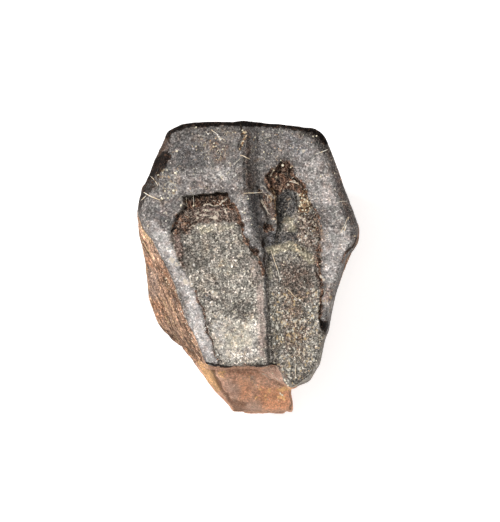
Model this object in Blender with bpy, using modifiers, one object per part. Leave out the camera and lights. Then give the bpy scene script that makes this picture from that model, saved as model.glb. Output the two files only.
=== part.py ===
"""A worn hadrosaur tooth, lying on its back with the enamel face up.

+Y runs from the root to the worn biting end, +X to the right of the enamel
face, and +Z up. The tooth rests on a small flat spot of its back at z = 0, and
the middle of its box is on the Z axis. The tables and the sculpting below are
in millimetres, and MM makes metres of them at the end.
"""

import bmesh
import bpy
import numpy as np
from mathutils import Matrix, Vector, noise

MM = 0.001

# Driving dimensions
CROWN_TOP = 8.55
FACE_ARCH = 0.011
ARCH_MIDDLE = 0.5
CREST_RISE = 0.30
CREST_SLOPE = 1.65
TROUGH_DEPTH = 0.50
TROUGH_WIDTH = 3.1
FLANK_AT_BASE = 0.30
FLANK_AT_EDGE = 0.85
HOLLOW_DEPTH = 0.42
LEDGE_WIDTH = 0.36
BASE_SHARE = 0.25
REST_LEVEL = 0.32

# Surface: size of the sculpting faces, worn edges, and swells as (height, lump size)
SCULPT_STEP = 0.10
EDGE_WEAR_PASSES = 3
EDGE_WEAR_LOSS = 0.05
FACE_SWELL = (0.035, 0.9)
SIDE_SWELL = (0.10, 2.4)
GROOVES = (0.07, 0.62, 3.6)
SHARP_ANGLE = 0.6
TRIANGLES = 9400

# The crown's outline, clockwise from the left end of the biting edge, at two levels:
# the edge of the enamel face (x, y), and the widest line of the wall under it (x, y, z)
CROWN = {
    "biting edge, left end": ((-3.95, 7.35), (-4.29, 7.50, 7.6)),
    "rounded left end": ((-3.35, 7.60), (-3.60, 7.92, 7.7)),
    "biting edge, left": ((-2.35, 7.72), (-2.40, 8.07, 7.8)),
    "biting edge, crest": ((-0.20, 7.77), (-0.25, 8.09, 7.9)),
    "biting edge, trough": ((0.70, 7.72), (0.75, 8.02, 7.8)),
    "left of the nib": ((1.35, 7.66), (1.40, 7.92, 7.8)),
    "nib of matrix": ((1.95, 7.64), (1.95, 8.03, 7.9)),
    "biting edge, right": ((2.55, 7.50), (2.65, 7.88, 7.7)),
    "rounded right end": ((3.25, 7.25), (3.50, 7.73, 7.5)),
    "biting edge, right end": ((3.60, 6.95), (3.98, 7.40, 7.5)),
    "right bevel": ((4.25, 5.55), (4.95, 5.52, 7.5)),
    "right bevel, lower": ((4.90, 3.65), (5.51, 3.65, 7.5)),
    "right corner": ((5.55, 2.05), (6.03, 2.05, 7.5)),
    "right corner, lower": ((5.42, 1.45), (5.91, 1.36, 7.0)),
    "below the right corner": ((5.10, 0.80), (5.40, 0.72, 6.4)),
    "right flank": ((4.60, -1.05), (4.87, -1.20, 6.0)),
    "right flank, lower": ((4.15, -3.15), (4.43, -3.25, 5.9)),
    "under the chip": ((3.98, -3.70), (4.17, -3.80, 5.9)),
    "right end of the base": ((3.65, -5.10), (3.92, -5.15, 5.9)),
    "right end of the base, lower": ((3.10, -5.85), (3.42, -6.03, 5.9)),
    "tip of the base": ((2.45, -6.25), (2.30, -6.55, 6.0)),
    "break in the base": ((1.55, -5.00), (0.75, -5.55, 6.3)),
    "base": ((0.40, -5.15), (0.20, -5.35, 6.2)),
    "left end of the base": ((-2.15, -5.05), (-2.30, -5.40, 5.6)),
    "left flank, lower": ((-3.10, -2.90), (-4.37, -3.74, 4.3)),
    "left flank, middle": ((-3.45, -1.90), (-4.98, -3.05, 4.5)),
    "left flank": ((-3.80, -0.90), (-5.42, -1.85, 4.8)),
    "below the left corner": ((-4.60, 0.95), (-5.68, 0.75, 5.9)),
    "left corner": ((-5.70, 3.10), (-6.04, 3.05, 7.6)),
    "left bevel, lower": ((-5.05, 4.65), (-5.64, 4.60, 7.4)),
    "left bevel": ((-4.40, 6.05), (-5.11, 5.90, 7.3)),
}

# The crown narrows to a blunt keel: (height, share of the width, share of the length, middle x, middle y)
KEEL = (
    (4.0, 0.90, 0.93, -0.10, 0.20),
    (2.0, 0.70, 0.82, -0.15, 0.35),
    (0.9, 0.50, 0.66, -0.25, 0.50),
    (0.2, 0.30, 0.46, -0.30, 0.60),
)

# Sections of the root from inside the crown to its broken end. Each goes round by
# left edge, left ridge, right ridge, right edge, right foot and left foot.
ROOT = {
    "inside the crown": (
        (-3.60, 1.00, 3.8), (-2.40, 1.20, 5.8), (2.60, 1.20, 6.0), (3.40, 1.00, 4.5), (1.80, 1.00, 0.6),
        (-2.00, 1.00, 0.6),
    ),
    "under the base of the crown": (
        (-3.75, -4.20, 3.9), (-2.65, -4.10, 5.9), (2.85, -4.10, 6.1), (3.60, -4.15, 4.5), (1.90, -4.25, 0.7),
        (-1.90, -4.25, 0.6),
    ),
    "neck": (
        (-2.55, -5.70, 3.6), (-1.95, -5.50, 5.5), (2.25, -5.70, 6.0), (2.55, -5.85, 4.6), (1.70, -5.90, 1.2),
        (-1.25, -5.90, 1.1),
    ),
    "below the neck": (
        (-1.76, -6.95, 3.3), (-0.96, -6.70, 4.9), (2.20, -6.70, 5.1), (2.40, -6.80, 4.2), (1.80, -6.95, 1.6),
        (-0.50, -6.95, 1.5),
    ),
    "broken end": (
        (-0.85, -8.00, 3.0), (-0.35, -7.60, 4.0), (2.15, -7.75, 4.3), (2.55, -7.93, 3.6), (2.00, -8.05, 2.1),
        (-0.10, -8.10, 2.0),
    ),
}

# Facets worn or pressed flat on the crown: (a point on the facet, its outward direction)
FACETS = {
    "biting wear": ((0.0, 8.10, 7.9), (0.05, 0.93, -0.37)),
    "left neighbour": ((-5.45, -1.4, 4.6), (-0.84, -0.08, -0.54)),
    "right neighbour": ((5.35, 0.0, 5.9), (0.86, -0.05, -0.51)),
}

# The crest of the carina, and the two hollows where the enamel has spalled off
CREST = (
    (-0.25, 8.00), (-0.25, 6.00), (-0.20, 4.35), (0.00, 3.65), (0.15, 2.75), (0.45, 1.75), (0.65, 1.00),
    (0.75, 0.30), (0.85, -0.50), (0.90, -1.60), (0.95, -5.00),
)
LEFT_HOLLOW = (
    (-3.55, 3.95), (-2.35, 4.15), (-1.40, 4.25), (-1.10, 4.15), (-0.85, 3.65), (-0.65, 3.25), (-0.50, 2.90),
    (-0.25, 2.10), (-0.05, 1.40), (0.20, 1.10), (0.50, 0.80), (0.70, 0.30), (0.80, -0.35), (0.85, -1.60),
    (0.90, -3.75), (0.95, -5.60), (-1.60, -5.60), (-1.70, -4.75), (-1.85, -4.30), (-1.95, -3.80),
    (-2.15, -3.40), (-2.25, -2.95), (-2.35, -2.30), (-2.60, -1.75), (-2.85, -1.10), (-3.10, -0.65),
    (-3.35, -0.25), (-3.70, 0.25), (-3.90, 0.75), (-4.05, 1.40), (-4.20, 2.05), (-4.05, 2.75),
    (-3.75, 3.15), (-3.50, 3.55),
)
RIGHT_HOLLOW = (
    (1.80, 5.90), (2.10, 5.90), (2.30, 5.55), (2.50, 5.15), (2.75, 4.95), (3.00, 4.55), (3.20, 4.20),
    (3.35, 3.75), (3.50, 3.40), (3.80, 2.95), (3.95, 2.30), (4.00, 1.40), (3.95, 0.45), (3.85, -0.50),
    (4.05, -1.25), (3.95, -2.15), (4.00, -3.05), (4.25, -3.45), (4.60, -4.20), (4.00, -5.60),
    (2.40, -6.90), (0.95, -5.80), (1.05, -4.95), (1.00, -3.20), (0.95, -1.60), (0.95, -0.25), (1.00, 0.45),
    (1.10, 1.00), (1.30, 1.40), (1.50, 1.90), (1.55, 2.45), (1.55, 3.40), (1.50, 3.90), (1.25, 4.45),
    (1.10, 4.80), (0.95, 5.15), (1.20, 5.30), (1.55, 5.55),
)
# Small pits where the carina breaks up, and chips in the edges: (x, y, radius, depth)
PITS = (
    (-0.40, 2.45, 0.24, 0.20),
    (1.00, 2.40, 0.28, 0.22),
    (0.40, 1.05, 0.36, 0.22),
    (4.15, -3.10, 0.34, 0.30),
    (1.90, 3.50, 0.60, 0.16),
)
# Low mounds of crust left standing in the hollows: (x, y, radius, height)
MOUNDS = (
    (1.35, 5.00, 0.45, 0.14),
    (2.95, 3.60, 0.50, 0.20),
    (3.20, 2.10, 0.50, 0.14),
    (2.30, 2.35, 0.40, 0.10),
    (-2.10, 3.25, 0.60, 0.12),
)


def clear_scene():
    for obj in list(bpy.data.objects):
        bpy.data.objects.remove(obj)


def smooth_step(value, low, high):
    """0 below low, 1 above high, and a smooth rise between them."""
    share = np.clip((value - low) / (high - low), 0.0, 1.0)
    return share * share * (3.0 - 2.0 * share)


def depth_inside(outline, x, y):
    """Distance to a closed outline, positive inside it and negative outside."""
    nearest = np.full(x.shape, np.inf)
    inside = np.zeros(x.shape, dtype=bool)
    for (ax, ay), (bx, by) in zip(outline, outline[1:] + outline[:1]):
        run, rise = bx - ax, by - ay
        along = np.clip(((x - ax) * run + (y - ay) * rise) / (run * run + rise * rise), 0.0, 1.0)
        nearest = np.minimum(nearest, np.hypot(x - ax - along * run, y - ay - along * rise))
        if rise:
            inside ^= ((ay > y) != (by > y)) & (x < ax + run * (y - ay) / rise)
    return np.where(inside, nearest, -nearest)


def lumps(points, sizes, place):
    """Smooth noise between about -1 and 1, with lumps as large as sizes, read from a place of its own."""
    shift = Vector((place * 7.3, place * 3.1, place * 5.7))
    return np.array([noise.noise(Vector(p) + shift) for p in points / np.array(sizes)])


def face_form(y):
    """The lengthwise arch of the enamel face, before its relief."""
    return CROWN_TOP - FACE_ARCH * (y - ARCH_MIDDLE) ** 2


def face_relief(x, y):
    """How far the enamel face stands above its arch: carina, trough, hollows, pits and mounds."""
    crest_x = np.interp(-y, [-cy for _, cy in CREST], [cx for cx, _ in CREST])
    side = x - crest_x
    towards_edge = smooth_step(y, -2.0, 4.5)
    share = BASE_SHARE + (1.0 - BASE_SHARE) * towards_edge
    flank = FLANK_AT_BASE + (FLANK_AT_EDGE - FLANK_AT_BASE) * towards_edge
    trough = TROUGH_DEPTH * share
    left = CREST_RISE * smooth_step(side, -CREST_SLOPE, -0.05)
    right = CREST_RISE - (CREST_RISE + trough) * smooth_step(side, 0.0, flank)
    right += trough * smooth_step(side, flank + 0.3, flank + 0.3 + TROUGH_WIDTH)
    relief = np.where(side < 0.0, left, right)

    for outline, deep_from in ((LEFT_HOLLOW, 4.0), (RIGHT_HOLLOW, 3.5)):
        share = BASE_SHARE + (1.0 - BASE_SHARE) * smooth_step(y, deep_from - 3.5, deep_from)
        relief -= HOLLOW_DEPTH * share * smooth_step(depth_inside(outline, x, y), -0.08, LEDGE_WIDTH - 0.08)
    for spots, sign in ((PITS, -1.0), (MOUNDS, 1.0)):
        for spot_x, spot_y, radius, height in spots:
            away = np.hypot(x - spot_x, y - spot_y)
            relief += sign * height * (1.0 - smooth_step(away, 0.25 * radius, radius))
    return relief


def loft(bm, rings):
    """A closed body through rings of equal length, in the order given, with a cap on each end."""
    loops = [[bm.verts.new(p) for p in ring] for ring in rings]
    count = len(loops[0])
    for upper, lower in zip(loops, loops[1:]):
        for i in range(count):
            j = (i + 1) % count
            bm.faces.new((upper[i], upper[j], lower[j], lower[i]))
    bm.faces.new(loops[0])
    bm.faces.new(reversed(loops[-1]))
    bmesh.ops.triangulate(bm, faces=bm.faces)
    bmesh.ops.recalc_face_normals(bm, faces=bm.faces)


def trim(bm, point, outward):
    """Cuts a closed body on a plane, takes away what is outside, and closes the cut."""
    geometry = list(bm.verts) + list(bm.edges) + list(bm.faces)
    across = Vector(outward).normalized()
    cut = bmesh.ops.bisect_plane(
        bm, geom=geometry, dist=1e-5, plane_co=point, plane_no=across, clear_outer=True
    )
    rim = [item for item in cut["geom_cut"] if isinstance(item, bmesh.types.BMEdge)]
    bmesh.ops.holes_fill(bm, edges=rim)
    bmesh.ops.triangulate(bm, faces=bm.faces)
    bmesh.ops.recalc_face_normals(bm, faces=bm.faces)


def crown_block():
    """The crown as a cut block: enamel face, wall and keel, with its worn facets."""
    edge = [Vector((x, y, face_form(y))) for (x, y), _ in CROWN.values()]
    wall = [Vector(point) for _, point in CROWN.values()]
    rings = [edge, wall]
    for height, wide, long, middle_x, middle_y in KEEL:
        rings.append([Vector((middle_x + wide * p.x, middle_y + long * p.y, height)) for p in wall])
    bm = bmesh.new()
    loft(bm, rings)
    for point, outward in FACETS.values():
        trim(bm, point, outward)
    return bm


def mesh_of(bm, name):
    mesh = bpy.data.meshes.new(name)
    bm.to_mesh(mesh)
    bm.free()
    return mesh


def evaluated(obj):
    """The object's mesh with its modifiers worked in, as a mesh of its own."""
    bpy.context.view_layer.update()
    graph = bpy.context.evaluated_depsgraph_get()
    return bpy.data.meshes.new_from_object(obj.evaluated_get(graph))


def grown_together(obj):
    """Crown and root as one skin of small even faces."""
    fuse = obj.modifiers.new("fuse", "REMESH")
    fuse.mode = "VOXEL"
    fuse.voxel_size = SCULPT_STEP
    wear = obj.modifiers.new("wear", "SMOOTH")
    wear.iterations = EDGE_WEAR_PASSES
    skin = evaluated(obj)
    obj.modifiers.clear()
    return skin


def read_points(mesh, what):
    """The mesh's "co" or "normal" of every point, as rows of three."""
    flat = np.empty(3 * len(mesh.vertices))
    mesh.vertices.foreach_get(what, flat)
    return flat.reshape(-1, 3)


def sculpt(mesh):
    """Moves the skin's points: relief on the enamel face, grooves and swells on the rest."""
    points = read_points(mesh, "co")
    x, y, z = points.T
    edge = [place for place, _ in CROWN.values()]
    arch = face_form(y)
    on_face = smooth_step(depth_inside(edge, x, y), 0.05, 0.35) * smooth_step(z - arch, -0.6, -0.3)
    near_face = smooth_step(z - arch, -1.3, -0.3)

    groove_depth, groove_width, groove_length = GROOVES
    side_height, side_size = SIDE_SWELL
    swell = groove_depth * lumps(points, (groove_width, groove_length, groove_width), 2)
    swell += side_height * lumps(points, (side_size,) * 3, 3)
    outward = EDGE_WEAR_LOSS + (1.0 - on_face) * swell
    moved = points + outward[:, None] * read_points(mesh, "normal")

    face_height, face_size = FACE_SWELL
    flat_points = np.column_stack((x, y, np.zeros_like(x)))
    level = arch + face_height * lumps(flat_points, (face_size,) * 3, 1)
    moved[:, 2] += on_face * (level - moved[:, 2])
    moved[:, 2] += near_face * face_relief(x, y)
    mesh.vertices.foreach_set("co", moved.ravel())
    mesh.update()


def thinned(obj):
    """The skin with fewer, larger triangles where it is smooth."""
    obj.modifiers.new("halve", "TRIANGULATE")
    thin = obj.modifiers.new("thin", "DECIMATE")
    obj.data.calc_loop_triangles()
    thin.ratio = TRIANGLES / len(obj.data.loop_triangles)
    skin = evaluated(obj)
    obj.modifiers.clear()
    return skin


def tooth_material():
    """Brown dentine under dark grey enamel, as one fossil colour."""
    fossil = bpy.data.materials.new("fossil_tooth")
    fossil.use_nodes = True
    shader = fossil.node_tree.nodes["Principled BSDF"]
    shader.inputs["Base Color"].default_value = (0.22, 0.17, 0.13, 1.0)
    shader.inputs["Roughness"].default_value = 0.62
    shader.inputs["Metallic"].default_value = 0.0
    return fossil


def cut_to_rest(mesh):
    """The tooth cut flat where it rests, in metres, with the middle of its box on the Z axis."""
    solid = bmesh.new()
    solid.from_mesh(mesh)
    trim(solid, (0.0, 0.0, REST_LEVEL), (0.0, 0.0, -1.0))
    low, high = (Vector([pick(v.co[i] for v in solid.verts) for i in range(3)]) for pick in (min, max))
    middle = Vector(((low.x + high.x) / 2, (low.y + high.y) / 2, low.z))
    solid.transform(Matrix.Scale(MM, 4) @ Matrix.Translation(-middle))
    return mesh_of(solid, "tooth")


def build_tooth(collection):
    """One closed solid: crown and root grown together, sculpted, thinned and cut to rest."""
    blocks = crown_block()
    loft(blocks, [[Vector(p) for p in ring] for ring in ROOT.values()])
    tooth = bpy.data.objects.new("tooth", mesh_of(blocks, "crown_and_root"))
    collection.objects.link(tooth)
    tooth.data = grown_together(tooth)
    sculpt(tooth.data)
    tooth.data = thinned(tooth)
    tooth.data = cut_to_rest(tooth.data)
    tooth.data.shade_smooth()
    tooth.data.set_sharp_from_angle(angle=SHARP_ANGLE)
    tooth.data.materials.append(tooth_material())


clear_scene()
parts = bpy.data.collections.new("hadrosaur_tooth")
bpy.context.scene.collection.children.link(parts)
build_tooth(parts)
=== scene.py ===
import bmesh
import bpy
import numpy as np
from mathutils import Matrix, Vector, noise
from mathutils.bvhtree import BVHTree


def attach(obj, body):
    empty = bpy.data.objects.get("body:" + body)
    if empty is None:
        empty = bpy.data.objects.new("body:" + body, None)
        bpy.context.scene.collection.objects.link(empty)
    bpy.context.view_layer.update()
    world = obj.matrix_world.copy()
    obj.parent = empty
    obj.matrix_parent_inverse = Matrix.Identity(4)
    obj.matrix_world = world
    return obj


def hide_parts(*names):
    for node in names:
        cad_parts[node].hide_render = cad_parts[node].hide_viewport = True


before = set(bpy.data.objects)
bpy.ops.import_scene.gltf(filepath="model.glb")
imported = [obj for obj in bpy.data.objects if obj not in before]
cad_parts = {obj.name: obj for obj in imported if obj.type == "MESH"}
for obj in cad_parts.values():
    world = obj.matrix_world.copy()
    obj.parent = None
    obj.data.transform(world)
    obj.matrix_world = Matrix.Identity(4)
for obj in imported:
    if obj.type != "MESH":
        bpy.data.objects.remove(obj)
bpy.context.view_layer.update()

# A fossil hadrosaur tooth seen straight down on its enamel face. Sculpting is in
# millimetres, and MM turns it into metres. Markings are placed in the frame of the
# photograph, and placed() turns those places into millimetres on the tooth.
MM = 0.001

# The camera over the tooth, and what a pixel covers at the level of the face
PHOTO_WIDTH, PHOTO_HEIGHT = 500, 522
SENSOR = 36.0
LENS = 193.36
CAMERA_HEIGHT = 160.0
CAMERA_X, CAMERA_Y = 0.079, 0.513
FACE_LEVEL = 8.23
PIXEL = (CAMERA_HEIGHT - FACE_LEVEL) * SENSOR / LENS / PHOTO_HEIGHT
CLIP_START = 0.01
# The share of a round mark's radius within which it is at full strength
SPOT_CORE = 0.35

# Skin of the tooth: size of its faces, and how it is smoothed
SKIN_STEP = 0.122
WELD_REACH = 0.0001
WEAR_PASSES = 6
CAVITY_PASSES = 8

# The arch of the enamel face and its carina, which grows between two places along the tooth
FACE_ARCH = 0.011
ARCH_MIDDLE = 0.5
CARINA_GROWTH = (-2.0, 4.5)
CREST_RISE = 0.30
CREST_AT_BASE = 0.45
CREST_SLOPE = 1.65
CREST_TOP = 0.05
TROUGH_DEPTH = 0.42
TROUGH_FLOOR = 0.3
TROUGH_WIDTH = 3.1
FLANK_AT_BASE = 0.21
FLANK_AT_EDGE = 0.88
# The hollows. BASE_SHARE is what is left of their depth, and of the trough's, at the base of the crown.
HOLLOW_DEPTH = 0.42
HOLLOW_FADE = 3.5
LEDGE_WIDTH = 0.17
LEDGE_FOOT = 0.04
BARED_EDGE = 0.06
BASE_SHARE = 0.10
# Coats, and how much of the relief each surface takes
ENAMEL_WRAP = 1.1
MATRIX_COAT = 0.03
ENAMEL_PORES = 0.35
ROOT_CALM = 0.75
FACET_POLISH = 0.6
UMBRA_DEPTH = 0.05
UMBER_CRUST = 0.5
CAVITY_PULL = 0.6

# Where the parts of the surface begin. Each pair is where a smooth change starts and where it is full:
# in depth under the face, in distance inside its edge, in length along the tooth, or in a part of the
# normal.
FACE_REACH = (2.2, 1.6)
OVER_FACE = (-0.02, 0.02)
ON_FACE = (0.05, 0.30)
OFF_FACE = (-0.45, 0.04)
UNDER_EDGE = (-0.34, -0.24)
DENTINE_START = (0.05, 0.22)
ROOT_START = (4.9, 5.6)
TOP_TURN = (-0.30, -0.05)
ABOVE_TURN = (0.05, 0.30)
FACET_TURN = (0.60, 0.85)
FACET_START = (5.0, 6.5)
# How far down the walls the markings of the face hang: on the root, how much more on the crown, the
# change between them along the tooth, and the fade at their lower end
HANG_ON_ROOT = 0.35
HANG_GAIN = 0.85
HANG_START = (-4.8, -3.8)
HANG_FADE = 0.4
# How much of the fall past the edge counts as depth on the wall
EDGE_FALL = 0.6

# What the camera sees closely: the face by the upward part of its normal and its drop below the arch,
# and the left side by the same part, its level and its place
FACE_TURN = 0.42
FACE_DROP = 0.95
SIDE_TURN = 0.30
SIDE_LEVEL = 5.4
SIDE_TOP = 2.5
SIDE_LEFT = -1.5

# The grain of the dentine: its middle line and half its width by place along the tooth, and the width
# that it is spread to
GRAIN_MIDDLE = ((-8.0, -5.5, -3.0), (1.0, 0.35, 0.0))
GRAIN_WIDTHS = ((-8.0, -5.05, -2.9, -0.9, 0.95, 3.1), (1.2, 2.3, 3.1, 3.8, 4.6, 5.7))
GRAIN_SPREAD = 4.5

# Smooth noise in layers. A layer is its height, the size of its lumps, or their sizes along x, y and z,
# and the number of the place that it is read from.
RAGGED_X = ((0.10, 0.30, 11), (0.05, 0.12, 12))
RAGGED_Y = ((0.10, 0.30, 13), (0.05, 0.12, 14))
LEDGE_X = ((0.05, 0.30, 11),)
LEDGE_Y = ((0.05, 0.30, 13),)
WALL_LINE = ((0.12, 0.5, 15),)
ROOT_LINE = ((0.25, 1.2, 16),)
REACH_LINE = ((0.35, 0.9, 17),)
BEVEL_LINE = ((0.08, 0.25, 18),)
HANG_LINE = ((0.2, 0.5, 19),)
GRAIN_GROOVES = ((0.055, (0.34, 3.4, 0.5), 21), (0.030, (0.16, 1.5, 0.25), 22))
PORES = ((0.020, 0.35, 23), (0.012, 0.17, 24))
SWELLS = ((0.05, 1.1, 25),)
FACE_WAVES = ((0.035, 0.9, 1),)
ENAMEL_GRAIN = ((0.013, 0.34, 31), (0.008, 0.16, 32))
BARED_GRAIN = ((0.010, 0.16, 32), (0.022, (0.17, 0.75, 1.0), 33))
CRUST_RELIEF = ((0.055, 0.34, 34), (0.040, 0.17, 35))
NOISE_STEPS = (7.3, 3.1, 5.7)


def placed(*pixels):
    """Places on the tooth, in millimetres, of places in the frame of the photograph."""
    return [
        (CAMERA_X + (px - PHOTO_WIDTH / 2) * PIXEL, CAMERA_Y + (PHOTO_HEIGHT / 2 - py) * PIXEL)
        for px, py in pixels
    ]


def smooth_step(value, low, high):
    """0 below low, 1 above high, and a smooth rise between them."""
    share = np.clip((value - low) / (high - low), 0.0, 1.0)
    return share * share * (3.0 - 2.0 * share)


def beside(start, end, x, y):
    """How far along a straight line each point lies, from 0 to 1, and how far away from it."""
    (ax, ay), (bx, by) = start, end
    run, rise = bx - ax, by - ay
    along = np.clip(((x - ax) * run + (y - ay) * rise) / (run * run + rise * rise), 0.0, 1.0)
    return along, np.hypot(x - ax - along * run, y - ay - along * rise)


def distance_to(path, x, y):
    """Distance to the nearest part of a path."""
    nearest = np.full(x.shape, np.inf)
    for start, end in zip(path, path[1:]):
        nearest = np.minimum(nearest, beside(start, end, x, y)[1])
    return nearest


def depth_inside(outline, x, y):
    """Distance to a closed outline, positive inside it and negative outside."""
    closed = outline + outline[:1]
    inside = np.zeros(x.shape, dtype=bool)
    for (ax, ay), (bx, by) in zip(closed, closed[1:]):
        if by != ay:
            inside ^= ((ay > y) != (by > y)) & (x < ax + (bx - ax) * (y - ay) / (by - ay))
    away = distance_to(closed, x, y)
    return np.where(inside, away, -away)


def stroke(width, strength, *pixels):
    """A mark along a path: full to a third of its width from the path, and gone at its width."""
    path = placed(*pixels)
    return lambda x, y: strength * (1.0 - smooth_step(distance_to(path, x, y), width / 3, width))


def patch(soft, strength, *pixels):
    """A mark that fills an outline, with an edge as soft as given."""
    outline = placed(*pixels)
    return lambda x, y: strength * smooth_step(depth_inside(outline, x, y), -soft, soft)


def spots(radius, strength, *pixels):
    """Round marks of one size."""
    places = placed(*pixels)

    def near_a_place(x, y):
        away = np.min([np.hypot(x - px, y - py) for px, py in places], axis=0)
        return strength * (1.0 - smooth_step(away, SPOT_CORE * radius, radius))

    return near_a_place


# The edge of the enamel face: its place, how far down the wall the enamel reaches there, and how dark
# the wall is painted just under the edge, as dark matrix and painted shade on the steep bevels
FACE_EDGE = (
    ((174.5, 134), 1.05, 0.9), ((185, 129.5), 0.95, 0.9), ((205, 128), 0.90, 0.9),
    ((244, 127), 0.90, 0.9), ((267, 128), 0.90, 0.9), ((279, 128.5), 0.95, 1.0),
    ((291, 131), 0.95, 1.0), ((303, 135), 1.00, 1.0), ((312, 141), 1.00, 0.85),
    ((327, 168), 1.05, 0.28), ((339, 203), 1.05, 0.24), ((351, 232.5), 0.95, 0.40),
    ((349, 243), 0.90, 0.4), ((343, 256), 1.50, 0.25), ((334, 290), 2.20, 0.1),
    ((325.5, 329), 2.30, 0.1), ((323.5, 340), 2.30, 0.0), ((318, 366.5), 2.20, 0.0),
    ((307, 380), 1.90, 0.0), ((294, 387), 0.80, 0.0), ((277, 363), 0.22, 0.1), ((255, 366), 0.22, 0.3),
    ((207, 364), 0.16, 0.1), ((188, 322), 0.06, 0.0), ((175.5, 286), 0.06, 0.0),
    ((161, 252), 0.08, 0.0), ((142, 213), 0.60, 0.4), ((148.5, 198.5), 1.25, 0.7),
    ((154, 184), 1.35, 0.8), ((166, 158), 1.05, 0.9),
)
EDGE_PATH = placed(*(place for place, _, _ in FACE_EDGE))
CREST = placed(
    (243, 118), (243.5, 160), (244.5, 190), (248, 203), (251, 220), (256, 238), (260, 252), (262, 265),
    (264, 280), (265, 300), (266, 370),
)
LEFT_HOLLOW = placed(
    (182, 197), (190, 195), (205, 193.5), (222, 191.5), (228, 193.5), (232, 203), (236, 210), (239, 217),
    (243, 232), (247, 245), (252, 250), (257, 256), (261, 265), (264, 277), (265, 300), (266, 340),
    (267, 376), (222, 376), (219, 364), (216, 358), (214, 350), (212, 341), (208, 333), (206, 325),
    (205, 313), (200, 303), (196, 296), (195, 291), (191, 283), (186, 275), (180, 266), (176, 257),
    (173, 245), (170, 233), (173, 220), (179, 212), (183, 205),
)
RIGHT_HOLLOW = placed(
    (281, 161), (287, 161), (291, 168), (294, 175), (299, 179), (303, 186), (307, 193), (310, 201),
    (313, 208), (318, 216), (321, 228), (322, 245), (321, 262), (319, 280), (323, 294), (321, 310),
    (322, 327), (327, 334), (334, 348), (324, 376), (292, 400), (266, 380), (268, 362), (267, 330),
    (267, 300), (267, 275), (266, 262), (268, 252), (272, 245), (276, 235), (277, 225), (277, 208),
    (276, 198), (271, 188), (268, 182), (266, 175), (270, 172), (277, 168), (279, 163),
)
# Each hollow, and the place along the tooth from which it has its full depth
HOLLOWS = ((LEFT_HOLLOW, 4.0), (RIGHT_HOLLOW, 3.5))

# The crack between the rim and the bared dentine on the left
RIM_CRACK = (
    (196, 291), (195, 296), (200, 303), (205, 313), (206, 325), (208, 333), (212, 341), (214, 350),
)

# Grooves and cracks in the face, as strokes whose strength is their depth
GROOVES = (
    stroke(0.07, 0.05, *RIM_CRACK, (216, 358), (220, 366)),
    stroke(0.08, 0.04, (264, 262), (266, 280), (266, 310), (268, 345), (270, 366)),
    stroke(0.08, 0.045, (268, 285), (269, 310), (271, 335), (274, 362)),
    stroke(0.07, 0.04, (276, 312), (277, 335), (279, 352)),
    stroke(0.16, 0.14, (241, 120), (242, 128), (244, 134), (242, 142), (240, 149)),
    stroke(0.06, 0.03, (214, 144), (218, 151), (223, 158)),
    stroke(0.08, 0.05, (179, 264), (184, 272), (189, 279)),
    stroke(0.08, 0.04, (176, 267), (181, 274), (185, 279)),
    stroke(0.14, 0.12, (258, 188), (261, 198), (266, 212), (270, 222)),
    stroke(0.10, 0.07, (319, 270), (322, 290), (320, 306), (321, 322)),
    stroke(0.10, 0.06, (244, 134), (243.5, 160), (244.5, 190)),
    spots(0.22, 0.20, (241.5, 225)),
    spots(0.27, 0.22, (267, 226)),
    spots(0.34, 0.22, (255, 251)),
    spots(0.16, 0.10, (189, 298)),
    spots(0.34, 0.34, (325, 325)),
    spots(0.60, 0.12, (283, 203)),
    spots(0.16, 0.10, (184, 208), (176, 218), (171, 230)),
)
# Crust and enamel left standing in the hollows, as strokes whose strength is their height
MOUNDS = (
    spots(0.36, 0.12, (273, 182)),
    spots(0.30, 0.12, (284, 166)),
    spots(0.46, 0.20, (304, 202)),
    spots(0.36, 0.12, (304, 238), (291, 226)),
    spots(0.20, 0.12, (275, 222), (299, 184)),
    stroke(0.26, 0.20, (264, 188), (270, 196), (273, 208), (274, 222)),
    stroke(0.08, 0.04, (205, 204), (213, 206), (220, 205), (224, 200), (226, 197)),
    stroke(0.10, 0.06, (202, 211), (212, 209), (221, 212)),
    stroke(0.09, 0.05, (206, 215), (214, 214), (220, 216)),
    stroke(0.07, 0.04, (186, 200), (189, 208)),
    spots(0.14, 0.05, (213, 293), (181, 205), (170, 259)),
)
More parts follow.
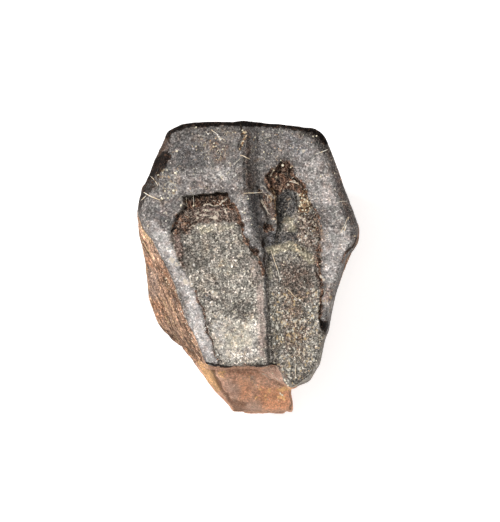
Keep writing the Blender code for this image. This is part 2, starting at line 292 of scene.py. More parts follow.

# Markings of the surface. Each kind is a field that the material reads, and most run from 0 to 1.
# The pale and grime marks say by how many stops the surface is lighter or darker than plain enamel:
# the lighter ones are bleached film and painted light, the darker ones grime and painted shade.
# Lighter places: bleached film, and painted light where the face turns towards the lamp, as on the rise
# beyond the carina's trough
PALE = (
    patch(0.35, 0.58, (292, 136), (312, 142), (322, 154), (328, 170), (336, 188), (342, 205), (345, 222),
          (330, 226), (322, 212), (313, 200), (306, 186), (298, 176), (292, 166), (288, 150)),
    patch(0.25, 0.90, (318, 186), (330, 184), (338, 200), (336, 212), (326, 210), (319, 200)),
    patch(0.22, 0.85, (306, 160), (322, 156), (326, 168), (314, 173), (306, 168)),
    patch(0.22, 0.95, (324, 226), (348, 228), (353, 238), (345, 252), (338, 270), (331, 288), (326, 290),
          (324, 270), (323, 245)),
    patch(0.30, 0.45, (166, 172), (200, 169), (240, 164), (244, 188), (232, 192), (182, 193), (166, 188)),
    patch(0.16, 0.75, (214, 168), (222, 166), (232, 180), (240, 178), (242, 188), (226, 190), (217, 178)),
    patch(0.20, 1.25, (149, 214), (158, 224), (167, 233), (173, 245), (177, 258), (181, 267), (190, 281),
          (191, 296), (183, 298), (177, 284), (169, 266), (160, 249), (151, 231)),
    patch(0.28, 1.24, (183, 290), (194, 288), (201, 306), (205, 316), (206, 328), (210, 338), (213, 350),
          (217, 362), (207, 364), (200, 352), (194, 338), (186, 318)),
    patch(0.40, 1.08, (212, 316), (226, 316), (250, 318), (262, 322), (263, 360), (222, 363), (216, 350)),
    patch(0.25, 1.25, (210, 322), (224, 322), (226, 338), (214, 340)),
    patch(0.20, 1.10, (220, 353), (246, 352), (250, 359), (222, 361)),
    patch(0.25, 0.20, (318, 176), (334, 178), (344, 210), (340, 226), (324, 214)),
    patch(0.14, 0.45, (252, 286), (261, 283), (264, 300), (264.5, 330), (265, 360), (254, 360), (252, 330)),
    patch(0.40, 0.40, (190, 238), (240, 236), (256, 262), (258, 300), (215, 310), (196, 296)),
    patch(0.25, 0.75, (198, 298), (216, 300), (226, 320), (214, 332), (207, 322)),
    patch(0.20, 0.60, (137, 226), (150, 226), (166, 262), (150, 264)),
    patch(0.12, 0.30, (176, 338), (190, 350), (206, 366), (214, 384), (206, 384), (190, 362)),
    patch(0.25, 0.50, (150, 192), (178, 190), (181, 204), (172, 216), (160, 214), (148, 206)),
    patch(0.20, 0.30, (152, 206), (176, 208), (168, 232), (156, 222)),
    stroke(0.10, 0.70, (150, 218), (156, 226), (163, 236), (168, 246)),
    stroke(0.13, 1.25, (218, 167), (221, 174), (228, 180)),
    stroke(0.10, 1.05, (222, 166), (226, 170), (230, 168)),
    stroke(0.08, 0.95, (162, 175), (172, 179), (182, 176), (190, 180)),
    stroke(0.08, 0.95, (196, 178), (206, 184), (217, 190)),
    stroke(0.07, 0.90, (204, 176), (214, 181), (222, 188)),
    stroke(0.07, 0.85, (184, 170), (196, 172), (206, 170)),
    stroke(0.07, 0.80, (174, 150), (184, 148), (196, 149)),
    stroke(0.07, 0.75, (190, 158), (200, 154), (210, 150)),
    patch(0.12, 0.55, (232, 196), (246, 194), (249, 205), (251, 222), (255, 238), (250, 244), (244, 232),
          (240, 216), (235, 204)),
    patch(0.12, 0.40, (258, 196), (266, 206), (270, 222), (260, 222), (257, 206)),
    patch(0.20, 0.55, (298, 226), (312, 222), (314, 244), (302, 246)),
    patch(0.18, 0.60, (197, 225), (236, 223), (238, 232), (198, 234)),
    patch(0.12, 0.45, (258, 368), (278, 366), (288, 380), (281, 386), (268, 380)),
    stroke(0.32, 0.46, (270, 250), (279, 249), (290, 246), (298, 249), (305, 254), (312, 260)),
    patch(0.25, 0.25, (268, 290), (318, 290), (322, 345), (300, 376), (280, 360)),
    spots(0.55, 0.80, (290, 224)),
    spots(0.45, 0.50, (194, 264), (311, 293), (314, 318), (282, 295), (250, 292)),
    patch(0.30, 0.20, (280, 330), (306, 330), (310, 372), (286, 376)),
    patch(0.40, 0.18, (320, 226), (348, 232), (340, 262), (330, 290), (324, 280)),
    patch(0.12, 0.70, (323, 294), (331, 292), (330, 316), (325, 316)),
    spots(0.40, 0.40, (290, 138), (281, 147), (305, 148)),
    stroke(0.20, 0.80, (327, 338), (324, 352), (319, 366), (309, 378), (297, 386)),
    stroke(0.18, 0.75, (347, 252), (343, 262), (337, 280), (333, 298), (330, 316)),
)
# Darker places: grime, and painted shade on the carina's right flank and on the steep right bevel
SHADE_AND_GRIME = (
    patch(0.20, 0.45, (174, 128), (240, 125), (240, 133), (180, 138)),
    patch(0.14, 0.55, (244, 127), (249, 127), (250, 150), (251, 175), (255, 196), (261, 214), (263, 232),
          (258, 246), (252, 232), (248, 206), (245, 190), (243.5, 160)),
    patch(0.45, 0.15, (246, 128), (262, 130), (266, 160), (270, 180), (264, 200), (250, 180)),
    patch(0.20, 0.55, (274, 158), (290, 155), (298, 170), (270, 174)),
    patch(0.15, 0.75, (296, 129), (318, 133), (329, 152), (322, 150), (312, 140), (298, 136)),
    stroke(0.34, 1.30, (172, 129), (180, 125), (196, 122.5), (240, 121), (276, 124), (300, 127), (318, 131),
           (325, 140)),
    patch(0.30, 0.20, (324, 134), (334, 150), (343, 176), (353, 205), (358, 222), (360, 236), (354, 234),
          (350, 214), (344, 198), (337, 175), (329, 155)),
    patch(0.15, 0.35, (340, 205), (350, 206), (355, 222), (350, 226), (343, 216)),
    patch(0.35, 0.12, (272, 262), (312, 264), (316, 300), (300, 312), (276, 300)),
    patch(0.25, 0.15, (268, 300), (284, 300), (286, 345), (270, 360)),
    patch(0.12, 0.78, (279, 194), (284, 189), (292, 188), (297, 196), (297, 210), (291, 214), (283, 224),
          (278, 230)),
    patch(0.14, 0.70, (267, 232), (280, 233), (296, 233), (297, 240), (282, 243), (268, 245)),
    patch(0.10, 0.80, (260, 236), (268, 236), (270, 246), (262, 248)),
    patch(0.20, 0.30, (180, 140), (205, 150), (200, 172), (178, 168)),
    patch(0.10, 0.70, (303, 212), (313, 213), (316, 220), (308, 221)),
    stroke(0.14, 0.25, (345, 253), (340, 268), (336, 282), (333, 298)),
    patch(0.14, 0.60, (184, 226), (196, 226), (200, 220), (188, 216)),
    patch(0.12, 0.30, (320, 332), (326, 336), (322, 352), (316, 370), (312, 370), (318, 350)),
    patch(0.12, 0.50, (262, 204), (268, 212), (272, 226), (262, 228)),
    patch(0.15, 0.60, (332, 286), (339, 284), (335, 300), (330, 302)),
    patch(0.14, 0.12, (186, 205), (232, 204), (238, 216), (226, 222), (190, 222)),
    patch(0.10, 0.50, (183, 196), (229, 193), (233, 202), (210, 203), (186, 205)),
    stroke(0.14, 0.30, (352, 246), (344, 256), (338, 272), (334, 290)),
    stroke(0.07, 0.75, (324.5, 342), (321, 356), (313.5, 370), (304, 379), (296, 385)),
)
# Dark soil in cracks and along the rim, and painted shadow: the dark lines under the crown's base edge,
# under the ledges of the hollows, beside the flap by the right hollow and along the carina's right flank
SOIL_AND_SHADOW = (
    stroke(0.32, 1.00, (168, 135), (170, 132), (176, 128), (184, 125), (196, 123.5), (210, 122.5),
           (225, 122), (240, 122)),
    stroke(0.28, 1.00, (240, 122), (255, 123.5), (268, 124.5), (276, 125)),
    stroke(0.36, 1.00, (278, 122.5), (286, 123), (295, 126)),
    stroke(0.30, 1.00, (295, 126), (308, 128.5), (316, 130.5), (322, 135), (325, 141)),
    patch(0.14, 0.92, (170, 149), (170.5, 156), (168, 162), (165, 168), (160, 174), (154, 178), (147, 182),
          (143, 180), (148, 168), (153, 160), (162, 153)),
    stroke(0.10, 0.60, (168, 137), (170, 143), (169, 150)),
    patch(0.20, 0.62, (146, 178), (159, 175), (156, 187), (151, 195), (145, 201), (139, 207), (135, 204),
          (141, 188)),
    stroke(0.13, 0.60, (145, 197), (141, 204), (138.5, 211)),
    stroke(0.10, 0.85, (192, 196.5), (200, 195.5), (212, 194.5), (222, 193.5), (229, 194)),
    stroke(0.08, 0.50, (183, 197.5), (192, 196)),
    stroke(0.08, 0.55, (187, 205), (184, 210), (180, 213)),
    stroke(0.12, 0.62, (180, 213), (177, 218), (174, 220)),
    stroke(0.09, 0.85, (174.5, 228), (171, 232)),
    stroke(0.10, 0.50, (176, 229), (182, 232), (189, 230)),
    stroke(0.10, 1.00, (240, 121), (240.5, 125), (242, 129)),
    stroke(0.06, 0.60, (241, 129), (240.5, 137), (239, 146)),
    stroke(0.10, 0.45, (244, 146), (244.5, 165), (245, 190)),
    spots(0.15, 0.60, (241.5, 225), (257, 251.5), (267, 227), (253, 252)),
    stroke(0.07, 0.85, (311, 227), (315, 227.5)),
    stroke(0.08, 0.60, (308, 234), (314, 237), (320, 239)),
    stroke(0.09, 0.60, (300, 245), (304, 251)),
    stroke(0.10, 0.62, (278, 192), (277.5, 205), (277.5, 216), (278, 228), (276, 236)),
    stroke(0.10, 0.50, (300, 213), (297, 206), (297, 198)),
    stroke(0.09, 0.55, (302, 214), (308, 219), (314, 220)),
    stroke(0.08, 0.50, (297, 228), (302, 231), (306, 230)),
    stroke(0.09, 0.55, (310, 229), (313, 235), (311, 241), (314, 247)),
    stroke(0.08, 0.50, (303, 245), (308, 251), (312, 258)),
    stroke(0.09, 0.45, (317, 250), (320, 262), (321, 274)),
    stroke(0.10, 0.50, (262, 240), (268, 236), (276, 237)),
    stroke(0.08, 0.50, (259, 196), (262, 206), (267, 216)),
    stroke(0.12, 0.40, (268, 243), (276, 243), (284, 241)),
    stroke(0.10, 0.60, (263, 238), (264.5, 250), (265, 262)),
    stroke(0.06, 0.60, (265, 262), (266, 275), (267, 284)),
    stroke(0.05, 0.30, (266, 286), (266, 310), (267, 335), (269, 362)),
    stroke(0.05, 0.32, (269, 296), (269.5, 318), (271.5, 345), (274, 362)),
    stroke(0.05, 0.40, (276, 312), (277, 325), (279, 345)),
    stroke(0.04, 0.50, *RIM_CRACK),
    stroke(0.06, 0.50, (197, 340), (200, 349), (204, 358), (208, 363.5)),
    spots(0.14, 0.60, (191, 331), (186, 318)),
    # Painted shadow under the crown's base edge, where it overhangs the root
    stroke(0.09, 0.95, (207, 363.5), (214, 364.5), (222, 366), (232, 366.5), (240, 367)),
    stroke(0.13, 0.85, (240, 367), (250, 368), (256, 367)),
    stroke(0.06, 0.85, (256, 367), (263, 364.5), (272, 364), (277, 364)),
    patch(0.12, 0.95, (319, 318), (324, 321), (329, 319), (328.5, 330), (325, 334), (320, 327)),
    stroke(0.08, 0.55, (317, 272), (320, 282), (323, 292), (323, 300), (320, 306), (320, 318)),
    stroke(0.14, 0.55, (357, 238), (352, 246), (346, 253)),
    stroke(0.10, 0.50, (279, 164), (282, 161), (287, 161), (290, 166), (289, 172)),
    stroke(0.09, 0.42, (267, 176), (271, 180), (270, 186), (274, 191), (279, 192)),
    stroke(0.09, 0.66, (292, 178), (297, 180), (301, 184), (304, 189)),
    stroke(0.09, 0.50, (310, 203), (314, 210), (319, 215)),
    stroke(0.07, 0.55, (250, 243), (252, 248), (248, 246)),
    stroke(0.05, 0.55, (218, 150), (221, 155), (223, 158)),
    stroke(0.08, 0.55, (318, 334), (322, 332), (326, 334)),
    spots(0.11, 0.70, (333, 296), (253, 190), (257, 186)),
)
RUST = (
    patch(0.08, 0.95, (184, 198), (200, 196), (229, 194), (232, 203), (237, 211), (230, 210), (222, 206),
          (205, 205), (198, 207), (188, 210)),
    stroke(0.12, 0.90, (232, 203), (236, 210), (239, 217), (241, 224), (243, 232), (246, 241), (249, 247),
           (254, 252), (259, 258), (262, 266), (263, 274)),
    spots(0.27, 1.00, (256, 251)),
    spots(0.20, 1.00, (241.5, 225)),
    spots(0.16, 0.90, (234, 207), (248, 240)),
    patch(0.05, 1.00, (262, 226), (266, 222), (270, 224), (274, 230), (268, 233), (263, 231)),
    patch(0.14, 0.95, (264, 177), (268, 171), (275, 167), (279, 161), (289, 161), (293, 169), (298, 177),
          (304, 183), (308, 193), (302, 195), (296, 191), (290, 190), (284, 191), (280, 196), (272, 196),
          (266, 188)),
    patch(0.10, 0.40, (311, 206), (318, 214), (322, 226), (322, 262), (316, 262), (312, 250), (313, 238),
          (308, 226), (311, 216)),
    stroke(0.16, 0.66, (318, 256), (320, 272), (322, 288), (321, 304), (320, 318)),
    patch(0.14, 0.50, (174, 216), (186, 212), (196, 224), (184, 236), (172, 236)),
    stroke(0.10, 0.75, (259, 190), (264, 198), (269, 208)),
    stroke(0.12, 0.75, (311, 204), (316, 212), (320, 219)),
    stroke(0.12, 0.55, (318, 226), (319, 245), (319, 260), (319, 272)),
    stroke(0.20, 0.75, (166, 139), (163, 146), (158, 156), (154, 166)),
    stroke(0.10, 0.70, (357, 238), (352, 246), (346, 253), (342, 262)),
    spots(0.18, 0.70, (177, 216), (186, 208), (316, 216)),
    stroke(0.07, 0.70, (238, 222), (243, 230)),
    stroke(0.06, 0.66, *RIM_CRACK, (216, 358), (219, 364)),
    patch(0.12, 0.60, (240, 364), (258, 362), (262, 368), (252, 372), (242, 370)),
)
UMBER = (
    patch(0.14, 0.95, (186, 206), (234, 202), (241, 220), (232, 223), (214, 221), (196, 224), (188, 234),
          (172, 236), (174, 222), (181, 212)),
    patch(0.10, 0.85, (172, 234), (180, 232), (181, 240), (183, 250), (184, 262), (187, 272), (181, 266),
          (176, 255), (174, 244)),
    patch(0.12, 0.62, (298, 212), (318, 214), (322, 230), (322, 290), (317, 290), (312, 250), (304, 248),
          (297, 236)),
    patch(0.30, 0.60, (280, 262), (312, 264), (316, 300), (300, 306), (280, 292)),
    stroke(0.22, 0.55, (329, 150), (337, 178), (345, 202), (352, 222)),
    patch(0.10, 0.80, (261, 190), (269, 194), (276, 204), (275, 222), (269, 216), (263, 204)),
    patch(0.20, 0.55, (160, 146), (170, 142), (169, 162), (158, 176), (146, 184), (148, 168)),
    stroke(0.08, 0.70, *RIM_CRACK),
    patch(0.12, 0.75, (262, 365), (280, 364), (290, 380), (278, 380), (262, 373)),
    patch(0.25, 0.45, (206, 136), (232, 140), (228, 168), (212, 166)),
    # Brown stain and painted shade on the carina's right flank
    patch(0.14, 0.60, (244, 128), (250, 128), (252, 170), (254, 190), (246, 190), (244, 160)),
    patch(0.20, 0.40, (276, 160), (292, 158), (300, 172), (270, 176)),
    stroke(0.10, 0.80, (318, 262), (319, 280), (322, 292), (320, 306)),
    patch(0.25, 0.60, (280, 292), (302, 296), (310, 330), (304, 364), (284, 350)),
    patch(0.15, 0.50, (324, 284), (338, 282), (332, 302), (324, 300)),
)
# Dark blue-grey stain, and painted shade down the carina's right flank
SLATE = (
    # Painted shade down the carina's right flank
    patch(0.30, 0.60, (248, 190), (258, 198), (266, 222), (262, 238), (252, 240), (248, 214)),
    patch(0.12, 0.90, (279, 194), (284, 188), (292, 187), (297, 195), (298, 210), (291, 216), (283, 224),
          (278, 228)),
    patch(0.14, 0.90, (267, 230), (280, 232), (296, 231), (298, 240), (282, 244), (268, 247)),
    patch(0.14, 0.50, (266, 246), (274, 250), (276, 272), (274, 288), (266, 284)),
    patch(0.20, 0.35, (262, 300), (272, 300), (284, 330), (284, 360), (268, 360)),
    patch(0.25, 0.50, (176, 140), (208, 146), (204, 170), (174, 170)),
    patch(0.25, 0.60, (284, 132), (300, 136), (312, 150), (300, 160), (284, 146)),
    spots(0.30, 0.80, (181, 244), (207, 297)),
    patch(0.20, 0.50, (150, 205), (172, 208), (166, 226), (154, 216)),
    patch(0.12, 0.60, (302, 212), (313, 213), (316, 220), (308, 221)),
    patch(0.20, 0.35, (316, 345), (323, 340), (316, 368), (302, 376), (306, 362)),
)
ROSY = (
    patch(0.12, 0.85, (256, 285), (263, 284), (265, 330), (265, 358), (259, 358), (257, 320)),
    patch(0.10, 0.60, (200, 207), (224, 206), (226, 214), (214, 219), (202, 218)),
    patch(0.10, 0.55, (172, 235), (180, 234), (181, 262), (176, 255)),
    stroke(0.24, 1.00, (166, 139), (163, 146), (160, 152)),
    patch(0.20, 0.40, (184, 176), (206, 178), (222, 186), (200, 190)),
    patch(0.15, 0.50, (250, 256), (262, 260), (263, 280), (254, 284), (249, 270)),
    patch(0.20, 0.20, (262, 366), (280, 366), (286, 378), (268, 374)),
    patch(0.20, 0.35, (322, 176), (334, 186), (336, 204), (324, 204)),
    patch(0.14, 0.20, (323, 284), (336, 284), (330, 304), (328, 318), (322, 316)),
)
OCHRE = (
    patch(0.16, 0.60, (198, 226), (214, 224), (216, 233), (200, 235)),
    patch(0.14, 0.50, (215, 225), (236, 223), (237, 230), (216, 232)),
    stroke(0.36, 0.95, (270, 250), (279, 249), (290, 246), (298, 249), (305, 254), (312, 260)),
    spots(0.42, 0.90, (289, 221), (292, 228)),
    spots(0.26, 0.50, (284, 214)),
    patch(0.12, 0.60, (267, 258), (273, 262), (273, 282), (268, 280)),
    patch(0.35, 0.70, (224, 322), (250, 318), (254, 345), (236, 354), (224, 350)),
    patch(0.30, 0.45, (284, 286), (302, 290), (306, 340), (300, 366), (284, 340)),
    spots(0.50, 0.30, (205, 250), (230, 272), (222, 262)),
    patch(0.20, 0.45, (270, 305), (282, 305), (286, 350), (272, 350)),
)
FLECKED = (
    patch(0.24, 1.00, (270, 292), (318, 290), (320, 330), (328, 338), (325, 352), (319, 368), (308, 382),
          (292, 389), (276, 362)),
    patch(0.30, 0.42, (210, 312), (262, 312), (264, 362), (220, 362)),
    patch(0.20, 0.50, (298, 214), (318, 214), (320, 245), (300, 246)),
    patch(0.14, 0.60, (322, 284), (336, 282), (331, 318), (322, 318)),
    patch(0.30, 0.16, (190, 236), (256, 236), (262, 310), (200, 310)),
    patch(0.20, 0.50, (152, 166), (180, 168), (182, 200), (158, 202)),
    patch(0.30, 0.35, (192, 132), (240, 128), (240, 168), (210, 166)),
)
GILT = (
    spots(0.14, 0.95, (282, 165)),
    spots(0.10, 0.70, (274, 170), (291, 167)),
    patch(0.09, 0.85, (299, 196), (304, 190), (309, 198), (312, 208), (308, 213), (296, 212), (300, 204)),
    stroke(0.10, 0.90, (241, 124), (243, 130), (245, 133)),
    stroke(0.09, 0.90, (245, 137), (243.5, 142), (242, 146), (240, 150)),
    stroke(0.10, 0.75, (273, 188), (275.5, 197), (276, 210), (275, 220)),
    patch(0.12, 0.50, (262, 186), (274, 196), (276, 212), (270, 206)),
    spots(0.14, 0.85, (298, 250), (300, 255), (295, 246)),
    spots(0.13, 0.55, (164, 170), (168, 178), (170, 193), (163, 191), (158, 175)),
    spots(0.13, 0.45, (216, 143), (222, 148), (214, 147), (222, 151), (196, 147), (198, 138)),
    stroke(0.08, 0.50, (288, 289), (292, 296), (293, 302)),
    spots(0.12, 0.60, (355, 236), (301, 341), (305, 344), (306, 338)),
)
CREAM = (
    spots(0.11, 1.00, (282, 165.5), (195, 126.5)),
    spots(0.14, 0.60, (303, 151), (166, 213)),
    spots(0.15, 0.95, (170, 259), (172.5, 261)),
    spots(0.10, 0.90, (177, 265), (176, 263)),
    spots(0.20, 0.80, (186, 283), (185, 280)),
    spots(0.15, 1.00, (212, 292.5), (215, 293)),
    spots(0.14, 0.75, (195, 265), (192, 284)),
    spots(0.16, 0.50, (238, 256), (235, 235)),
    spots(0.14, 0.90, (321, 277), (324.5, 280)),
    spots(0.15, 0.80, (279, 293), (283, 297)),
    spots(0.12, 0.90, (280.5, 279), (313, 290)),
    spots(0.14, 0.85, (300, 240), (306, 236)),
    spots(0.10, 0.90, (274, 219.5), (276, 222.5)),
    spots(0.35, 0.45, (222, 330), (218, 345), (228, 356)),
    stroke(0.08, 0.95, (217.5, 135), (219, 137), (220.5, 139.5)),
    stroke(0.06, 0.80, (204, 205), (209, 204.5), (214, 206), (219, 206), (223, 202), (226, 198)),
    stroke(0.08, 0.75, (223, 201), (225, 199)),
    stroke(0.06, 0.78, (203, 211), (207, 209.5), (210, 211)),
    stroke(0.06, 0.78, (213, 212), (218, 212.5), (222, 210)),
    stroke(0.06, 0.74, (205, 214), (208, 216), (212, 215)),
    stroke(0.06, 0.74, (209, 218.5), (213, 216.5), (216, 218)),
    stroke(0.06, 0.74, (215, 215), (219, 214), (221, 216.5)),
    stroke(0.06, 0.66, (223, 208), (225.5, 211), (226, 214)),
    stroke(0.06, 0.66, (196, 213), (199, 215), (202, 214)),
    stroke(0.06, 0.60, (196, 219), (200, 217), (203, 219)),
    stroke(0.05, 0.50, (228, 213), (231, 216), (230, 219)),
    stroke(0.05, 0.45, (188, 212), (191, 215), (190, 219)),
    stroke(0.05, 0.55, (219, 222), (220, 226), (219, 230)),
    stroke(0.05, 0.50, (189, 228), (192, 225.5), (195, 229)),
    stroke(0.05, 0.45, (214, 250), (217, 254), (219, 258), (222, 258)),
    stroke(0.05, 0.45, (217, 247), (220, 249), (221, 252)),
    stroke(0.06, 0.70, (180, 200), (184, 203), (187, 206)),
    stroke(0.05, 0.70, (195, 213), (199, 212)),
    stroke(0.06, 0.60, (262, 184), (268, 191), (275, 198)),
    stroke(0.06, 0.66, (261, 200), (265, 208), (269, 215)),
    stroke(0.05, 0.60, (262, 190), (266, 195), (269, 202)),
    stroke(0.06, 0.60, (276, 166), (273, 172), (270, 176)),
    stroke(0.06, 0.55, (293, 181), (298, 183), (301, 187)),
    stroke(0.05, 0.55, (289, 184), (286, 189), (283, 192)),
    stroke(0.05, 0.60, (191, 226), (193, 225), (196, 229)),
    stroke(0.06, 0.55, (255, 372), (264, 374), (275, 379), (284, 385)),
    stroke(0.09, 0.35, (247, 374), (252, 379), (257, 387)),
    stroke(0.05, 0.60, (299, 216), (303, 221), (310, 222), (314, 226)),
    stroke(0.04, 0.50, (341, 233), (336, 240), (334, 246)),
    stroke(0.05, 0.45, (338, 226), (341, 231), (346, 236)),
    stroke(0.05, 0.50, (302, 234), (306, 241), (311, 248)),
    stroke(0.06, 0.60, (219, 170), (222, 175), (228, 179)),
)
# Tan colour, with a painted highlight along the root's left strip
TAN = (
    patch(0.06, 1.00, (197, 360), (207, 364), (213, 370), (219, 384), (222, 391), (217, 392), (208, 382)),
    patch(0.08, 0.45, (178, 338), (190, 350), (206, 364), (198, 364), (184, 348)),
    patch(0.08, 0.45, (216, 370), (224, 372), (226, 378), (220, 377)),
)
GOLD = (
    stroke(0.14, 0.95, (285, 380), (289, 385)),
    stroke(0.18, 0.90, (279, 390), (286, 388), (291, 388.5)),
    stroke(0.13, 0.90, (277, 397.5), (281, 396.5), (284, 398.5)),
    spots(0.14, 0.75, (266, 396), (260, 389.5), (265, 400), (269, 391), (256, 398)),
    stroke(0.08, 0.42, (204, 368), (209, 376), (214, 384)),
    stroke(0.10, 0.50, (246, 374), (251, 379), (256, 387)),
    patch(0.10, 0.45, (216, 370), (225, 371), (227, 377), (220, 377)),
)
ASH = (
    patch(0.20, 0.75, (220, 380), (234, 380), (242, 392), (236, 402), (226, 392)),
    patch(0.20, 0.75, (246, 402), (264, 400), (262, 411), (246, 413)),
    patch(0.15, 0.70, (147, 266), (156, 268), (160, 290), (156, 302), (150, 296)),
    patch(0.12, 0.60, (244, 372), (256, 376), (258, 388), (252, 384)),
    spots(0.30, 0.50, (222, 378), (176, 300), (170, 320)),
    patch(0.20, 0.40, (262, 378), (276, 382), (272, 390), (262, 388)),
    patch(0.15, 0.85, (258, 367), (278, 365), (288, 379), (281, 386), (268, 380)),
)
UMBRA = (
    stroke(0.14, 0.85, (211, 367), (216, 378), (222, 390), (230, 400), (236, 410)),
    stroke(0.14, 0.80, (160, 326), (170, 336), (178, 340), (189, 350), (198, 360)),
    stroke(0.12, 0.70, (155, 262), (162, 272), (170, 288), (178, 304)),
    stroke(0.10, 0.70, (290, 393), (291.5, 402), (290, 411)),
    patch(0.18, 0.80, (226, 398), (236, 400), (247, 403), (246, 412), (236, 414)),
    stroke(0.16, 0.45, (248, 412), (262, 413), (276, 413), (288, 411)),
    stroke(0.08, 0.60, (152, 232), (160, 250), (168, 266)),
    stroke(0.10, 0.60, (160, 306), (168, 322), (176, 338)),
    stroke(0.08, 0.70, (184, 326), (192, 344), (202, 360)),
    stroke(0.10, 0.50, (150, 282), (153, 296), (161, 302)),
    stroke(0.08, 0.55, (271, 378), (278, 384), (286, 387)),
    stroke(0.12, 0.40, (146, 240), (150, 256), (154, 270)),
    stroke(0.14, 0.60, (136.5, 206), (137, 218), (139, 226)),
)
FIRE = (
    patch(0.30, 0.80, (258, 384), (290, 390), (290, 410), (268, 413), (258, 404)),
    patch(0.25, 0.60, (238, 378), (250, 382), (252, 398), (240, 402)),
    patch(0.20, 0.40, (150, 294), (158, 300), (166, 316), (160, 324), (152, 308)),
    patch(0.15, 0.60, (144, 256), (150, 258), (152, 268), (147, 266)),
    patch(0.15, 0.40, (156, 256), (166, 270), (172, 282), (164, 276)),
    patch(0.15, 0.50, (180, 342), (192, 354), (200, 364), (190, 358)),
)
MARKS = {
    "pale": PALE, "shade_and_grime": SHADE_AND_GRIME, "soil_and_shadow": SOIL_AND_SHADOW, "rust": RUST, "umber": UMBER, "slate": SLATE, "rosy": ROSY,
    "ochre": OCHRE, "flecked": FLECKED, "gilt": GILT, "cream": CREAM, "tan": TAN, "gold": GOLD, "ash": ASH,
    "umbra": UMBRA, "fire": FIRE,
}
# The kinds that lie on the side and the root, and not only on the enamel face and its edges
SIDE_MARKS = ("tan", "gold", "ash", "umbra", "fire", "pale", "shade_and_grime", "cream")
# What the marks raise or sink in the face, in millimetres
FACE_MARK_RELIEF = {
    "rust": 0.030, "umber": 0.012, "gilt": 0.050, "cream": 0.020, "pale": 0.004, "soil_and_shadow": -0.040,
}

# Specks of crystal and dust seen singly: colour from 0 gold to 1 white, radius in millimetres, places
SPECKS = (
    (0.60, 0.070, (175.5, 173), (162, 198.5), (181, 205.5), (173.5, 190.5), (283, 165)),
    (0.45, 0.052, (177, 151), (264, 151.5), (317, 135.5), (313.5, 136), (196, 127), (242.5, 130),
     (165, 191)),
    (0.50, 0.045, (168, 198), (158, 175), (243.5, 141), (205.5, 210), (193.5, 205.5), (255, 137),
     (335, 173)),
    (1.00, 0.048, (217.5, 134.5), (219, 136.5), (220.5, 139.5)),
    (0.85, 0.050, (208, 133.5), (220, 175), (234, 176.5), (236, 175), (221, 176.5), (280.5, 279),
     (315, 304)),
    (0.90, 0.060, (213, 292), (194, 265), (192, 284), (182, 288), (279, 293), (300, 240), (306, 236)),
    (0.60, 0.045, (169, 192), (167, 170), (196, 146), (216, 146), (223, 149), (214, 143), (263, 131),
     (281, 160)),
    (0.55, 0.050, (301, 202), (308, 201), (300, 206), (306, 210), (303, 210), (299, 211), (304, 195),
     (310, 208)),
    (0.75, 0.045, (166, 221), (164, 213), (163, 224), (235, 235), (216, 238), (214, 242), (227, 256),
     (231, 245)),
    (0.35, 0.050, (291, 167), (274, 170), (298, 250), (300, 255), (355, 236), (296, 246), (246, 132),
     (271, 175)),
    (0.70, 0.050, (290, 369), (285, 380), (296, 378), (283, 311), (283, 338), (290, 349), (308, 347),
     (305, 361)),
    (0.95, 0.040, (275, 344), (312, 318), (311, 289), (300, 300), (287, 320), (323, 277), (252, 303),
     (218, 355)),
    (0.62, 0.060, (285.5, 381), (287, 383.5), (288.5, 386), (281, 396.5), (283, 398)),
    (0.45, 0.040, (245, 213), (302, 198), (330, 200), (321, 176), (320, 264), (284, 262), (142, 242),
     (148, 226)),
)
# Dust strewn at random: how many, smallest and largest radius, lowest and highest colour, and where
STREWN = (
    (46, 0.016, 0.034, 0.3, 0.9, (176, 136), (238, 128), (242, 186), (182, 190), (152, 200), (168, 160)),
    (34, 0.018, 0.036, 0.1, 0.6, (192, 138), (226, 138), (226, 162), (205, 162), (192, 150)),
    (16, 0.018, 0.036, 0.2, 0.7, (160, 168), (178, 172), (176, 196), (160, 196)),
    (50, 0.016, 0.034, 0.1, 0.7, (248, 128), (300, 132), (318, 140), (290, 158), (262, 160), (248, 150)),
    (22, 0.018, 0.034, 0.3, 0.8, (218, 166), (240, 160), (244, 188), (222, 188)),
    (50, 0.016, 0.034, 0.5, 1.0, (300, 150), (322, 152), (342, 206), (348, 236), (328, 286), (322, 226)),
    (40, 0.018, 0.040, 0.3, 0.9, (298, 190), (308, 188), (314, 212), (320, 240), (300, 244), (294, 212)),
    (24, 0.016, 0.034, 0.2, 0.8, (186, 200), (228, 196), (236, 220), (184, 222)),
    (20, 0.018, 0.036, 0.4, 0.9, (238, 194), (248, 194), (252, 226), (244, 226)),
    (90, 0.016, 0.036, 0.4, 1.0, (184, 236), (240, 232), (262, 280), (262, 310), (206, 310), (190, 280)),
    (110, 0.018, 0.038, 0.4, 0.9, (208, 310), (262, 310), (264, 362), (220, 364)),
    (40, 0.016, 0.032, 0.6, 1.0, (186, 298), (200, 302), (208, 334), (218, 362), (208, 362), (196, 332)),
    (30, 0.016, 0.034, 0.5, 1.0, (150, 216), (170, 238), (186, 278), (180, 290), (162, 252)),
    (130, 0.018, 0.040, 0.2, 0.9, (268, 288), (318, 290), (324, 340), (314, 372), (290, 384), (270, 362)),
    (50, 0.018, 0.038, 0.1, 0.7, (290, 310), (310, 312), (312, 356), (294, 360)),
    (24, 0.016, 0.034, 0.4, 0.9, (276, 246), (312, 250), (316, 288), (278, 288)),
    (40, 0.018, 0.040, 0.0, 0.6, (152, 246), (160, 252), (190, 322), (204, 358), (198, 356), (168, 300)),
    (24, 0.018, 0.036, 0.3, 0.8, (172, 288), (178, 290), (200, 352), (194, 348)),
    (10, 0.020, 0.040, 0.0, 0.4, (258, 384), (288, 386), (288, 404), (262, 404)),
    (14, 0.016, 0.032, 0.2, 0.6, (262, 366), (284, 366), (290, 380), (268, 374)),
)

